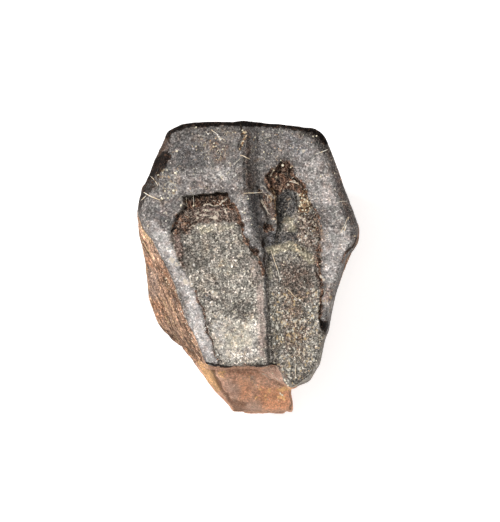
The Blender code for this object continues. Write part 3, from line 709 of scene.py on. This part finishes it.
# Dust fibres: path in the frame of the photograph, and radius
FIBRES = (
    (((143.5, 192), (148, 195), (152, 197), (160, 200)), 0.033),
    (((141, 200), (143, 198.5), (145.5, 196)), 0.030),
    (((150, 176), (154, 179), (157, 184), (158, 186)), 0.018),
    (((240, 155), (244, 156), (246, 157.5), (250, 159)), 0.033),
    (((244, 193.5), (249, 193), (254, 193), (262, 192)), 0.033),
    (((315, 154), (321, 152), (326, 150), (328, 149)), 0.025),
    (((344.5, 231), (346.5, 225), (348.5, 217)), 0.044),
    (((341, 231), (345, 226), (347, 219)), 0.022),
    (((289, 181), (293, 181), (299, 184)), 0.025),
    (((292, 178), (295, 175.5), (297.5, 174.5)), 0.025),
    (((211, 129), (213, 131), (215, 132), (217.5, 134)), 0.024),
    (((205.5, 131), (208.5, 134.5)), 0.030),
    (((223, 368.5), (222.5, 366), (224, 363)), 0.021),
    (((257.5, 368), (257, 364), (258, 361)), 0.021),
    (((196, 341), (199, 340), (203, 340.5)), 0.021),
    (((339, 201.5), (343, 201), (347, 201)), 0.020),
    (((193, 194), (193.5, 199), (193.5, 205)), 0.014),
    (((186, 197), (186, 201), (187, 205)), 0.012),
    (((271, 250), (274, 260), (278, 270), (279.5, 277)), 0.022),
    (((285, 288), (289, 290), (293, 295), (297, 299)), 0.021),
    (((295, 361), (296, 370), (295.5, 379)), 0.021),
    (((262, 199), (265, 206), (268, 212)), 0.018),
    (((240, 159), (236, 162), (234, 165)), 0.015),
)
# How high a fibre lies and how thin its tips are, and the drop that it bridges instead of following
FIBRE_LIFT = 0.03
FIBRE_TIP = 0.5
LARGEST_DROP = 1.2
# The shape of a speck: how flat or tall, how dented, and how far up its middle sits
SPECK_STRETCH = (0.65, 1.25)
SPECK_DENTS = (0.85, 1.15)
SPECK_SINK = 0.35
FULL_TURN = 6.28
DUST_SEED = 11
STREWN_TRIES = 6

# Tones of the tooth in stops, and the depths in millimetres between which a place counts as sunken
MARK_STOPS = 1.15
# Sunken places are darkened as painted shade in creases and under ledges, and ridges are made lighter
CAVITY_SHADE_STOPS = 0.7
WORN_STOPS = 0.35
SPECKLE_MIDDLE = 0.55
SUNKEN_DEPTHS = (0.003, 0.030)

# Looks that are the same all over
ENAMEL_SHEEN = 0.04
BUMP_HEIGHT = 0.012
WHITE = (1.0, 1.0, 1.0, 1.0)
PAPER_GREY = (0.90, 0.90, 0.90, 1.0)
PAPER_GLOW = 0.55

# The studio: the floor in metres, the sky, and each lamp's name, place, size and strength
FLOOR_SIZE = 1.2
FLOOR_DROP = 0.00002
SKY_STRENGTH = 0.36
LAMPS = (("window", (-170.0, 90.0, 190.0), 90.0, 0.48), ("overhead", (10.0, 0.0, 330.0), 160.0, 0.22))
LAMPS_AIM = (0.0, 0.0, 4.0)


def layered(points, layers):
    """Layers of smooth noise added up, each between about -1 and 1 times its height."""
    total = np.zeros(len(points))
    for height, size, place in layers:
        shift = Vector([place * step for step in NOISE_STEPS])
        total += height * np.array([noise.noise(Vector(p) + shift) for p in points / np.array(size)])
    return total


def face_form(y):
    """The lengthwise arch of the enamel face, before its relief."""
    return FACE_LEVEL - FACE_ARCH * (y - ARCH_MIDDLE) ** 2


def carina_relief(x, y):
    """The ridge down the face, its steep right flank and the trough beyond."""
    side = x - np.interp(-y, [-cy for _, cy in CREST], [cx for cx, _ in CREST])
    towards_edge = smooth_step(y, *CARINA_GROWTH)
    flank = FLANK_AT_BASE + (FLANK_AT_EDGE - FLANK_AT_BASE) * towards_edge
    trough = TROUGH_DEPTH * (BASE_SHARE + (1.0 - BASE_SHARE) * towards_edge)
    rise = CREST_RISE * (CREST_AT_BASE + (1.0 - CREST_AT_BASE) * towards_edge)
    left = rise * smooth_step(side, -CREST_SLOPE, -CREST_TOP)
    right = rise - (rise + trough) * smooth_step(side, 0.0, flank)
    right += trough * smooth_step(side, flank + TROUGH_FLOOR, flank + TROUGH_FLOOR + TROUGH_WIDTH)
    return np.where(side < 0.0, left, right)


def bare_share(x, y):
    """Where the enamel has spalled off, from 0 to 1, and how deep the hollow is there."""
    bared, depth = np.zeros_like(x), np.zeros_like(x)
    for outline, deep_from in HOLLOWS:
        inside = depth_inside(outline, x, y)
        share = BASE_SHARE + (1.0 - BASE_SHARE) * smooth_step(y, deep_from - HOLLOW_FADE, deep_from)
        bared = np.maximum(bared, smooth_step(inside, -BARED_EDGE, BARED_EDGE))
        depth = np.maximum(depth, HOLLOW_DEPTH * share * smooth_step(inside, -LEDGE_FOOT, LEDGE_WIDTH))
    return bared, depth


def set_out(name, data):
    """A new object in the scene."""
    made = bpy.data.objects.new(name, data)
    bpy.context.scene.collection.objects.link(made)
    return made


def as_mesh(obj):
    """The mesh that an object's curves or modifiers come out as."""
    bpy.context.view_layer.update()
    graph = bpy.context.evaluated_depsgraph_get()
    return bpy.data.meshes.new_from_object(obj.evaluated_get(graph))


def is_seen(face):
    """Whether a face of the skin lies on the enamel face, or on the left side that the photograph shows."""
    middle = face.calc_center_median()
    if face.normal.z > FACE_TURN and middle.z > face_form(middle.y) - FACE_DROP:
        return True
    on_left = middle.z > SIDE_LEVEL and middle.y < SIDE_TOP and middle.x < SIDE_LEFT
    return face.normal.z > SIDE_TURN and on_left


def even_skin(cad):
    """A copy of the tooth with small even faces, finer where the photograph shows it closely."""
    mesh = cad.data.copy()
    mesh.transform(Matrix.Scale(1.0 / MM, 4))
    mesh.materials.clear()
    skin = set_out("fossil_tooth", mesh)
    weld = skin.modifiers.new("weld", "WELD")
    weld.merge_threshold = WELD_REACH
    even = skin.modifiers.new("even", "REMESH")
    even.mode = "VOXEL"
    even.voxel_size = SKIN_STEP
    wear = skin.modifiers.new("wear", "SMOOTH")
    wear.iterations = WEAR_PASSES
    skin.data = as_mesh(skin)
    skin.modifiers.clear()

    bm = bmesh.new()
    bm.from_mesh(skin.data)
    bm.normal_update()
    edges = {edge for face in bm.faces if is_seen(face) for edge in face.edges}
    bmesh.ops.subdivide_edges(bm, edges=list(edges), cuts=1, use_grid_fill=True)
    bmesh.ops.triangulate(bm, faces=bm.faces)
    bm.to_mesh(skin.data)
    bm.free()
    return skin


def read_points(mesh, what):
    """The mesh's "co" or "normal" of every point, as rows of three."""
    flat = np.empty(3 * len(mesh.vertices))
    mesh.vertices.foreach_get(what, flat)
    return flat.reshape(-1, 3)


def as_photographed(points):
    """x and y at the level of the face that the camera sees in line with each point."""
    spread = (CAMERA_HEIGHT - FACE_LEVEL) / (CAMERA_HEIGHT - points[:, 2])
    return CAMERA_X + (points[:, 0] - CAMERA_X) * spread, CAMERA_Y + (points[:, 1] - CAMERA_Y) * spread


def along_edge(x, y):
    """Distance to the edge of the face, positive inside, and the enamel's reach and darkness there."""
    closed = EDGE_PATH + EDGE_PATH[:1]
    told = np.array([values for _, *values in FACE_EDGE + FACE_EDGE[:1]])[:, :, None]
    nearest, found = np.full(x.shape, np.inf), np.zeros((2, *x.shape))
    for start, end, here, ahead in zip(closed, closed[1:], told, told[1:]):
        along, away = beside(start, end, x, y)
        found = np.where(away < nearest, here + (ahead - here) * along, found)
        nearest = np.minimum(nearest, away)
    return depth_inside(EDGE_PATH, x, y), *found


def lengthwise(points):
    """A place in the grain of the dentine, whose fibres draw together towards the root."""
    x, y, z = points.T
    middle = np.interp(y, *GRAIN_MIDDLE)
    half_width = np.interp(y, *GRAIN_WIDTHS)
    return np.column_stack(((x - middle) / half_width * GRAIN_SPREAD, y, z))


def fields_of(points, normals):
    """What the material and the relief need to know at each point, by name."""
    x, y = as_photographed(points)
    flat = np.column_stack((x, y, np.zeros_like(x)))
    ragged_x, ragged_y = x + layered(flat, RAGGED_X), y + layered(flat, RAGGED_Y)
    along, forward, upward = points[:, 1], normals[:, 1], normals[:, 2]
    below = face_form(along) - points[:, 2]
    near_face = smooth_step(below, *FACE_REACH)
    hang = HANG_ON_ROOT + HANG_GAIN * smooth_step(along, *HANG_START) + layered(points, HANG_LINE)
    on_top = smooth_step(upward, *TOP_TURN) * smooth_step(below, hang + HANG_FADE, hang)
    from_above = smooth_step(upward, *ABOVE_TURN)

    fields = {}
    for name, marks in MARKS.items():
        shown = from_above if name in SIDE_MARKS else on_top
        fields[name] = shown * np.max([mark(ragged_x, ragged_y) for mark in marks], axis=0)

    inside, reach, darkness = along_edge(points[:, 0], along)
    reach = reach * (ENAMEL_WRAP + layered(points, REACH_LINE))
    over_face = smooth_step(inside, *OVER_FACE) * near_face
    on_wall = np.maximum(below, 0.0) + EDGE_FALL * np.maximum(-inside, 0.0) + layered(points, WALL_LINE)
    dentine = (1.0 - over_face) * smooth_step(on_wall - reach, *DENTINE_START)
    off_face = 1.0 - smooth_step(inside + layered(flat, BEVEL_LINE), *OFF_FACE)
    bared, _ = bare_share(ragged_x, ragged_y)
    fields["dentine"] = dentine
    fields["root"] = smooth_step(layered(points, ROOT_LINE) - along, *ROOT_START) * (1.0 - over_face)
    fields["bevel"] = off_face * (1.0 - dentine) * darkness
    fields["bared"] = bared * smooth_step(inside, *UNDER_EDGE) * near_face * (1.0 - dentine)
    fields["on_face"] = smooth_step(inside, *ON_FACE) * near_face
    fields["facet"] = smooth_step(forward, *FACET_TURN) * smooth_step(along, *FACET_START) * dentine
    return fields


def sculpt(mesh, fields, points, normals):
    """Moves the skin's points: relief on the face, and grooves, pores and swells in the dentine."""
    x, y = points[:, 0], points[:, 1]
    flat = np.column_stack((x, y, np.zeros_like(x)))
    dentine, root, bared = fields["dentine"], fields["root"], fields["bared"]

    outward = dentine * (1.0 - ROOT_CALM * root) * layered(lengthwise(points), GRAIN_GROOVES)
    outward += (ENAMEL_PORES + (1.0 - ENAMEL_PORES) * dentine) * layered(points, PORES)
    outward += dentine * layered(points, SWELLS)
    outward -= UMBRA_DEPTH * fields["umbra"] * dentine
    outward *= 1.0 - FACET_POLISH * fields["facet"]
    outward += MATRIX_COAT * fields["soil_and_shadow"] * (1.0 - fields["on_face"])
    moved = points + outward[:, None] * normals

    ragged_x, ragged_y = x + layered(flat, LEDGE_X), y + layered(flat, LEDGE_Y)
    level = face_form(y) + layered(flat, FACE_WAVES) + carina_relief(x, y)
    level -= bare_share(ragged_x, ragged_y)[1]
    for groove in GROOVES:
        level -= groove(ragged_x, ragged_y)
    for mound in MOUNDS:
        level += mound(ragged_x, ragged_y)
    crust = fields["rust"] + UMBER_CRUST * fields["umber"] + fields["gilt"]
    level += layered(flat, ENAMEL_GRAIN) + bared * layered(flat, BARED_GRAIN)
    level += crust * layered(flat, CRUST_RELIEF)
    for name, height in FACE_MARK_RELIEF.items():
        level += height * fields[name]
    moved[:, 2] += fields["on_face"] * (level - moved[:, 2])
    moved[:, 2] = np.maximum(moved[:, 2], 0.0)
    mesh.vertices.foreach_set("co", moved.ravel())
    mesh.update()


def sunken(mesh):
    """How far each point lies under its smoothed surroundings, in millimetres, and below 0 on a ridge."""
    ends = np.empty(2 * len(mesh.edges), dtype=np.int64)
    mesh.edges.foreach_get("vertices", ends)
    first, second = ends.reshape(-1, 2).T
    count = len(mesh.vertices)
    neighbours = np.bincount(ends, minlength=count)[:, None]
    points, normals = read_points(mesh, "co"), read_points(mesh, "normal")
    even = points
    for _ in range(CAVITY_PASSES):
        around = np.column_stack([
            np.bincount(first, even[second, axis], count) + np.bincount(second, even[first, axis], count)
            for axis in range(3)
        ])
        even = (1.0 - CAVITY_PULL) * even + CAVITY_PULL * around / neighbours
    return ((even - points) * normals).sum(axis=1)


def keep(mesh, name, values):
    """Keeps a number or a place for each point of the mesh, for its material to read."""
    kind, part = ("FLOAT", "value") if values.ndim == 1 else ("FLOAT_VECTOR", "vector")
    kept = mesh.attributes.new(name, kind, "POINT")
    kept.data.foreach_set(part, values.astype(np.float32).ravel())


# How far noise is spread out so that it swings between about -1 and 1
NOISE_GAIN = 5.0


class Value:
    """What a node gives. A sum written with it adds Math nodes to its finish, and is for numbers alone."""

    def __init__(self, finish, socket):
        self.finish, self.socket = finish, socket

    def worked(self, operation, first, second):
        return self.finish.node("ShaderNodeMath", {"operation": operation}, {0: first, 1: second})

    def __add__(self, other):
        return self.worked("ADD", self, other)

    def __sub__(self, other):
        return self.worked("SUBTRACT", self, other)

    def __rsub__(self, other):
        return self.worked("SUBTRACT", other, self)

    def __mul__(self, other):
        return self.worked("MULTIPLY", self, other)

    def __rpow__(self, other):
        return self.worked("POWER", other, self)

    def __abs__(self):
        return self.finish.node("ShaderNodeMath", {"operation": "ABSOLUTE"}, {0: self})

    __radd__ = __add__
    __rmul__ = __mul__


class Finish:
    """A material, and the nodes it is made from."""

    def __init__(self, name):
        self.material = bpy.data.materials.new(name)
        self.material.use_nodes = True
        self.tree = self.material.node_tree
        self.tree.nodes.clear()

    def node(self, kind, settings, sockets, output=0):
        """Adds a node, makes its settings, then sets or links its sockets, and gives one of its outputs."""
        made = self.tree.nodes.new(kind)
        for name, setting in settings.items():
            setattr(made, name, setting)
        for name, value in sockets.items():
            if isinstance(value, Value):
                self.tree.links.new(value.socket, made.inputs[name])
            else:
                made.inputs[name].default_value = value
        return Value(self, made.outputs[output]) if made.outputs else None

    def millimetres(self):
        """The place on the object, in millimetres."""
        return self.scaled(self.node("ShaderNodeTexCoord", {}, {}, "Object"), 1.0 / MM)

    def shaded(self, sockets):
        """Ends the nodes in a Principled shader with these sockets, and gives the material."""
        shader = self.node("ShaderNodeBsdfPrincipled", {}, sockets)
        self.node("ShaderNodeOutputMaterial", {}, {"Surface": shader})
        return self.material

    def field(self, name):
        """A field kept at the points of the mesh."""
        return self.node("ShaderNodeAttribute", {"attribute_name": name}, {}, "Fac")

    def swing(self, place, scale, detail=2.0, roughness=0.6):
        """Noise that swings about 0, seldom past 1 or -1."""
        sockets = {"Vector": place, "Scale": scale, "Detail": detail, "Roughness": roughness}
        return (self.node("ShaderNodeTexNoise", {}, sockets) - 0.5) * NOISE_GAIN

    def stretched(self, place, factors):
        return self.node("ShaderNodeVectorMath", {"operation": "MULTIPLY"}, {0: place, 1: factors})

    def between(self, value, low, high):
        """0 where the value is below low, 1 above high, and a smooth rise between."""
        sockets = {"Value": value, "From Min": low, "From Max": high}
        return self.node("ShaderNodeMapRange", {"interpolation_type": "SMOOTHSTEP"}, sockets)

    def over(self, share, first, second):
        """The second colour laid over the first, by a share from 0 to 1."""
        return self.node("ShaderNodeMix", {"data_type": "RGBA"}, {0: share, 6: first, 7: second}, 2)

    def scaled(self, vector, factor):
        return self.node("ShaderNodeVectorMath", {"operation": "SCALE"}, {0: vector, "Scale": factor})


def hue(red, green, blue):
    """A colour given by its parts of 255, as the light that a surface of it gives back."""
    parts = [c / 255.0 for c in (red, green, blue)]
    return [c / 12.92 if c <= 0.04045 else ((c + 0.055) / 1.055) ** 2.4 for c in parts] + [1.0]


def tooth_finish():
    """Mottled grey-brown enamel, bared and crusted dentine, and the orange-brown side and root."""
    fossil = Finish("fossil_tooth")
    place = fossil.millimetres()
    fibres = fossil.node("ShaderNodeAttribute", {"attribute_name": "grain_place"}, {}, "Vector")

    grain = fossil.swing(place, 7.4, 2.0, 0.6)
    pepper = fossil.swing(place, 11.5, 1.0, 0.5)
    mottle = fossil.swing(place, 2.4, 3.0, 0.6)
    cloud = fossil.swing(place, 0.6, 3.0, 0.5)
    tint = fossil.swing(place, 1.5, 3.0, 0.6)
    streaks = fossil.swing(fossil.stretched(fibres, (4.6, 0.50, 3.0)), 1.0, 4.0, 0.65)
    runs = fossil.swing(fossil.stretched(place, (8.5, 2.4, 8.5)), 1.0, 2.0, 0.6)
    worms = fossil.between(abs(fossil.swing(place, 5.2, 1.0, 0.5)), 0.24, 0.02)
    warmth = fossil.swing(place, 3.6, 1.0, 0.5)
    cells = fossil.node("ShaderNodeTexVoronoi", {}, {"Vector": place, "Scale": 8.0}, "Color")
    cell = fossil.node("ShaderNodeSeparateColor", {}, {"Color": cells})

    def marked(name, rag=0.30, patchy=0.25, low=0.25, high=0.75):
        """A mark whose soft edge is broken up by the grain and the mottling."""
        return fossil.between(fossil.field(name) + rag * grain + patchy * mottle, low, high)

    bared, dentine, root, bevel = (fossil.field(name) for name in ("bared", "dentine", "root", "bevel"))
    cavity = fossil.field("sunken")

    # Enamel, and the paler dentine bared in the hollows
    broad = fossil.between(0.6 * mottle + 0.7 * cloud, -0.9, 0.9)
    enamel = fossil.over(broad, hue(109, 104, 102), hue(140, 135, 132))
    enamel = fossil.over(fossil.between(tint, 0.1, 1.0) * 0.4, enamel, hue(120, 101, 86))
    bare = fossil.over(broad, hue(120, 114, 107), hue(155, 149, 140))
    bare = fossil.over(fossil.between(tint, 0.1, 1.0) * 0.3, bare, hue(136, 116, 96))
    colour = fossil.over(marked("bared", 0.15, 0.1), enamel, bare)

    # Stains and crust, with painted shade on the carina's right flank, then the dark matrix and painted
    # shade on the steep walls under the rim
    slate = marked("slate", 0.2, 0.2, 0.1, 0.9)
    umber = marked("umber", 0.2, 0.25, 0.1, 0.9)
    rust = marked("rust", 0.30, 0.25)
    soil_and_shadow = marked("soil_and_shadow", 0.25, 0.15, 0.2, 0.8)
    colour = fossil.over(slate * 0.6, colour, hue(92, 92, 97))
    ochre = marked("ochre", 0.15, 0.25, 0.1, 0.9)
    rosy = marked("rosy", 0.15, 0.2, 0.1, 0.9)
    colour = fossil.over(ochre * 0.7, colour, hue(144, 135, 112))
    colour = fossil.over(umber * 0.85, colour, hue(103, 82, 72))
    colour = fossil.over(rosy * 0.45, colour, hue(164, 140, 132))
    crusting = fossil.swing(place, 3.4, 3.0, 0.55)
    crust = fossil.between(crusting + 0.3 * grain, -0.7, 1.0)
    crust = fossil.over(crust, hue(32, 19, 13), hue(116, 80, 60))
    crust = fossil.over(worms * 0.45, crust, hue(160, 122, 98))
    colour = fossil.over(rust * 0.92, colour, crust)
    # Painted shade on the steep walls under the face edge, laid with the dark matrix
    rim = fossil.over(fossil.between(mottle + 0.4 * cloud, -0.8, 0.9), hue(18, 12, 9), hue(70, 54, 44))
    colour = fossil.over(bevel * 0.9, colour, rim)

    # The streaked dentine of the side and the back, the worn biting end, and the root
    bark = fossil.between(streaks + 0.2 * grain, -0.75, 0.85)
    bark = fossil.over(bark, hue(97, 72, 58), hue(208, 164, 135))
    bark = fossil.over(fossil.between(cloud, 0.1, 0.9) * 0.5, bark, hue(122, 102, 90))
    strands = fossil.swing(fossil.stretched(fibres, (7.5, 0.8, 5.0)), 1.0, 2.0, 0.5)
    bark = fossil.over(fossil.between(strands, 0.30, 0.85) * 0.42, bark, hue(234, 200, 152))
    bark = fossil.over(fossil.between(strands, -0.35, -0.90) * 0.5, bark, hue(56, 38, 27))
    stub = fossil.over(fossil.between(mottle + cloud, -1.1, 1.1), hue(194, 145, 119), hue(230, 180, 150))
    worn_end = fossil.over(fossil.between(mottle + cloud, -1.0, 1.0), hue(126, 98, 78), hue(186, 150, 122))
    bark = fossil.over(fossil.field("facet") * 0.75, bark, worn_end)
    bark = fossil.over(root, bark, stub)
    bark = fossil.over(marked("fire", 0.05, 0.2, 0.1, 0.9) * 0.6, bark, hue(236, 162, 116))
    # The tan strip carries a painted highlight along the root
    bark = fossil.over(marked("tan", 0.1, 0.1) * 0.85, bark, hue(206, 160, 112))
    bark = fossil.over(marked("ash", 0.05, 0.2, 0.1, 0.9) * 0.6, bark, hue(160, 138, 126))
    bark = fossil.over(marked("umbra", 0.2, 0.2, 0.1, 0.9) * 0.7, bark, hue(84, 56, 40))
    bark = fossil.over(marked("gold", 0.35, 0.2) * 0.80, bark, hue(252, 200, 138))
    colour = fossil.over(fossil.between(dentine + 0.2 * grain, 0.3, 0.7), colour, bark)

    # Bleached places and painted light, and a little warm and cool colour all over
    pallor = fossil.between(fossil.field("pale"), 0.5, 1.5) * 0.6
    colour = fossil.over(pallor * (1.0 - dentine), colour, hue(146, 142, 140))
    colour = fossil.over(fossil.between(warmth, 0.1, 1.0) * 0.18, colour, hue(146, 120, 106))
    colour = fossil.over(fossil.between(warmth, -0.1, -1.0) * 0.22, colour, hue(104, 110, 102))
    # How light or dark each place is, in stops, and how strongly it is speckled
    flecks = fossil.swing(fossil.stretched(place, (6.2, 4.2, 6.2)), 1.0, 1.0, 0.5) + 0.3 * grain
    flecks = fossil.between(flecks, 0.36, 0.75) * fossil.between(fossil.field("flecked"), 0.1, 0.9)
    dark = fossil.between(slate + umber + rust + bevel, 0.2, 1.6)
    calm = (1.0 - 0.55 * root) * (1.0 - 0.5 * fossil.field("facet")) * (1.0 - 0.6 * pallor)
    calm = calm * (1.0 - 0.45 * rosy) * (1.0 - 0.22 * ochre)
    contrast = calm * (0.95 + 0.30 * dark + 0.35 * bared) * (1.0 - 0.28 * rust) * (1.0 - 0.08 * slate)
    # Lighter and darker in stops: bleaching and grime, with painted light and painted shade among them
    level = fossil.field("pale") * (1.0 + 0.2 * mottle) - fossil.field("shade_and_grime") * (1.0 + 0.25 * mottle)
    # Painted shade in sunken places, and ridges made a little lighter
    cavity_shade = fossil.between(cavity, *SUNKEN_DEPTHS) * (1.0 - 0.6 * root)
    worn = fossil.between(-1.0 * cavity, *SUNKEN_DEPTHS)
    glints = fossil.between(fossil.swing(place, 8.0, 1.0, 0.5), 0.40, 0.95)
    speckle = 0.70 * grain + 0.70 * pepper + 0.18 * mottle + 0.95 * worms + 1.1 * glints
    speckle = speckle + 0.40 * bared * runs - SPECKLE_MIDDLE
    tone = 2.0 ** (contrast * speckle + MARK_STOPS * level - CAVITY_SHADE_STOPS * cavity_shade + WORN_STOPS * worn)
    colour = fossil.scaled(colour, tone)
    colour = fossil.over(worms * contrast * 0.14, colour, hue(226, 214, 198))
    fleck = fossil.between(0.6 * tint + warmth, -0.4, 0.4)
    fleck = fossil.over(fleck, hue(230, 224, 210), hue(206, 178, 134))
    colour = fossil.over(flecks * 0.75, colour, fleck)

    # Crystals, cream crumbs, and dark grit with painted shadow in its lines, lie over everything
    crystal = fossil.over(fossil.between(cell, 0.20, 0.65), hue(44, 30, 22), hue(146, 110, 80))
    crystal = fossil.over(fossil.between(cell, 0.68, 0.90), crystal, hue(240, 216, 178))
    colour = fossil.over(marked("gilt", 0.35, 0.3) * 0.88, colour, crystal)
    colour = fossil.over(marked("cream", 0.30, 0.20) * 0.85, colour, hue(228, 214, 194))
    # Dark soil, with painted shadow under edges and ledges
    grit_and_shadow = fossil.over(fossil.between(grain + 0.5 * worms, 0.2, 1.6), hue(12, 8, 6), hue(86, 62, 48))
    colour = fossil.over(soil_and_shadow * 0.92, colour, grit_and_shadow)

    rough = 0.64 + 0.14 * bared + 0.10 * dentine + 0.06 * grain + 0.15 * soil_and_shadow
    bumps = fossil.node(
        "ShaderNodeBump", {},
        {"Strength": 0.7, "Distance": BUMP_HEIGHT * MM,
         "Height": grain + 0.5 * pepper + 0.6 * worms + 0.8 * dentine * streaks},
    )
    return fossil.shaded(
        {"Base Color": colour, "Roughness": rough, "Normal": bumps, "Specular IOR Level": ENAMEL_SHEEN}
    )


def speck_finish():
    """Crystal and dust specks, from brown gold to white."""
    dust = Finish("crystal_dust")
    shade = dust.field("shade")
    uneven = dust.swing(dust.millimetres(), 12.0)
    colour = dust.over(dust.between(shade, 0.0, 0.5), hue(206, 152, 102), hue(255, 244, 214))
    colour = dust.over(dust.between(shade, 0.5, 1.0), colour, hue(252, 250, 246))
    colour = dust.scaled(colour, 2.0 ** (0.3 * uneven))
    return dust.shaded({"Base Color": colour, "Roughness": 0.45})


def fibre_finish():
    """Pale gold lint, a little uneven along its length."""
    lint = Finish("dust_fibre")
    uneven = lint.swing(lint.millimetres(), 4.0)
    colour = lint.over(lint.between(uneven, -0.5, 0.5), hue(248, 222, 186), hue(255, 248, 232))
    return lint.shaded({"Base Color": colour, "Roughness": 0.5})


def make_tooth():
    tooth = even_skin(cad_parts["tooth"])
    mesh = tooth.data
    points, normals = read_points(mesh, "co"), read_points(mesh, "normal")
    fields = fields_of(points, normals)
    sculpt(mesh, fields, points, normals)
    fields["sunken"] = sunken(mesh)
    for name in (*MARKS, "dentine", "root", "bevel", "bared", "facet", "sunken"):
        keep(mesh, name, fields[name])
    keep(mesh, "grain_place", lengthwise(points))
    mesh.transform(Matrix.Scale(MM, 4))
    mesh.shade_smooth()
    mesh.materials.append(tooth_finish())
    return tooth


def surface_of(tooth):
    """The sculpted surface in millimetres, for setting things down on it."""
    return BVHTree.FromPolygons(
        [v.co / MM for v in tooth.data.vertices], [p.vertices for p in tooth.data.polygons]
    )


def level_at(surface, x, y):
    """The level that something dropped from above lands on, or None beside the tooth."""
    hit = surface.ray_cast(Vector((x, y, CAMERA_HEIGHT / 2)), Vector((0.0, 0.0, -1.0)))[0]
    return hit.z if hit else None


def strewn_specks(chance):
    """Colour, radius and place of every speck: those seen singly, then the dust strewn in each outline."""
    specks = [(shade, radius, place) for shade, radius, *pixels in SPECKS for place in placed(*pixels)]
    for count, small, large, low, high, *pixels in STREWN:
        outline = placed(*pixels)
        xs, ys = zip(*outline)
        x = chance.uniform(min(xs), max(xs), STREWN_TRIES * count)
        y = chance.uniform(min(ys), max(ys), STREWN_TRIES * count)
        within = depth_inside(outline, x, y) > 0.0
        for place in list(zip(x[within], y[within]))[:count]:
            shade = chance.uniform(low, high)
            specks.append((shade, small + (large - small) * chance.random() ** 2, place))
    return specks


def make_specks(surface):
    """Specks of crystal and dust as small uneven lumps, joined in one mesh."""
    chance = np.random.default_rng(DUST_SEED)
    bm = bmesh.new()
    bmesh.ops.create_icosphere(bm, subdivisions=2, radius=1.0)
    ball = np.array([v.co for v in bm.verts])
    ball_faces = np.array([[v.index for v in face.verts] for face in bm.faces])
    bm.free()
    corners, faces, shades = [], [], []
    for shade, radius, (x, y) in strewn_specks(chance):
        level = level_at(surface, x, y)
        if level is None:
            continue
        lump = ball * chance.uniform(*SPECK_STRETCH, 3) * chance.uniform(*SPECK_DENTS, (len(ball), 1))
        turn = np.array(Matrix.Rotation(chance.uniform(0.0, FULL_TURN), 3, Vector(chance.normal(size=3))))
        lump = radius * lump @ turn.T + (x, y, level + radius * SPECK_SINK)
        faces.append(ball_faces + len(corners) * len(ball))
        corners.append(lump)
        shades.append(np.full(len(ball), shade))
    mesh = bpy.data.meshes.new("crystal_specks")
    mesh.from_pydata((np.concatenate(corners) * MM).tolist(), [], np.concatenate(faces).tolist())
    keep(mesh, "shade", np.concatenate(shades))
    mesh.shade_smooth()
    mesh.materials.append(speck_finish())
    return set_out("crystal_specks", mesh)


def make_fibres(surface):
    """Lint lying on the tooth, as thin tubes joined in one mesh."""
    curve = bpy.data.curves.new("dust_fibres", "CURVE")
    curve.dimensions = "3D"
    curve.bevel_depth = 1.0
    curve.bevel_resolution = 1
    curve.resolution_u = 5
    curve.use_fill_caps = True
    for pixels, radius in FIBRES:
        path = placed(*pixels)
        strand = curve.splines.new("NURBS")
        strand.points.add(len(path) - 1)
        strand.use_endpoint_u = True
        strand.order_u = 3
        level = FACE_LEVEL
        for i, (x, y) in enumerate(path):
            landing = level_at(surface, x, y)
            if landing is not None and landing > level - LARGEST_DROP:
                level = landing
            strand.points[i].co = (x, y, level + FIBRE_LIFT, 1.0)
            strand.points[i].radius = radius * (FIBRE_TIP if i in (0, len(path) - 1) else 1.0)
    lint = set_out("lint", curve)
    mesh = as_mesh(lint)
    bpy.data.objects.remove(lint)
    mesh.transform(Matrix.Scale(MM, 4))
    mesh.shade_smooth()
    mesh.materials.clear()
    mesh.materials.append(fibre_finish())
    return set_out("dust_fibres", mesh)


def soft_light(name, place, size, strength):
    """A round lamp at a place in millimetres, turned towards the tooth."""
    lamp = bpy.data.lights.new(name, "AREA")
    lamp.shape = "DISK"
    lamp.size = size * MM
    lamp.energy = strength
    hung = set_out(name, lamp)
    hung.location = Vector(place) * MM
    hung.rotation_euler = (Vector(LAMPS_AIM) - Vector(place)).to_track_quat("-Z", "Y").to_euler()


def make_studio():
    """A pale floor, even light from all round, and two large soft lamps."""
    scene = bpy.context.scene
    bpy.ops.mesh.primitive_plane_add(size=FLOOR_SIZE)
    floor = bpy.context.object
    floor.name = "floor"
    floor.location.z = -FLOOR_DROP
    paper = Finish("pale_paper")
    floor.data.materials.append(paper.shaded(
        {"Base Color": PAPER_GREY, "Roughness": 0.9, "Specular IOR Level": 0.0,
         "Emission Color": WHITE, "Emission Strength": PAPER_GLOW}
    ))

    world = bpy.data.worlds.new("soft_sky")
    world.use_nodes = True
    sky = world.node_tree.nodes["Background"].inputs
    sky["Color"].default_value = WHITE
    sky["Strength"].default_value = SKY_STRENGTH
    scene.world = world
    for name, place, size, strength in LAMPS:
        soft_light(name, place, size, strength)
    scene.view_settings.view_transform = "Standard"


def make_camera():
    lens = bpy.data.cameras.new("photograph")
    lens.lens = LENS
    lens.sensor_width = SENSOR
    lens.clip_start = CLIP_START
    camera = set_out("photograph", lens)
    camera.location = Vector((CAMERA_X, CAMERA_Y, CAMERA_HEIGHT)) * MM
    bpy.context.scene.camera = camera


make_camera()
make_studio()
fossil_tooth = make_tooth()
surface = surface_of(fossil_tooth)
crystal_specks = make_specks(surface)
dust_fibres = make_fibres(surface)
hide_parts("tooth")
for piece in (fossil_tooth, crystal_specks, dust_fibres):
    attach(piece, "root")
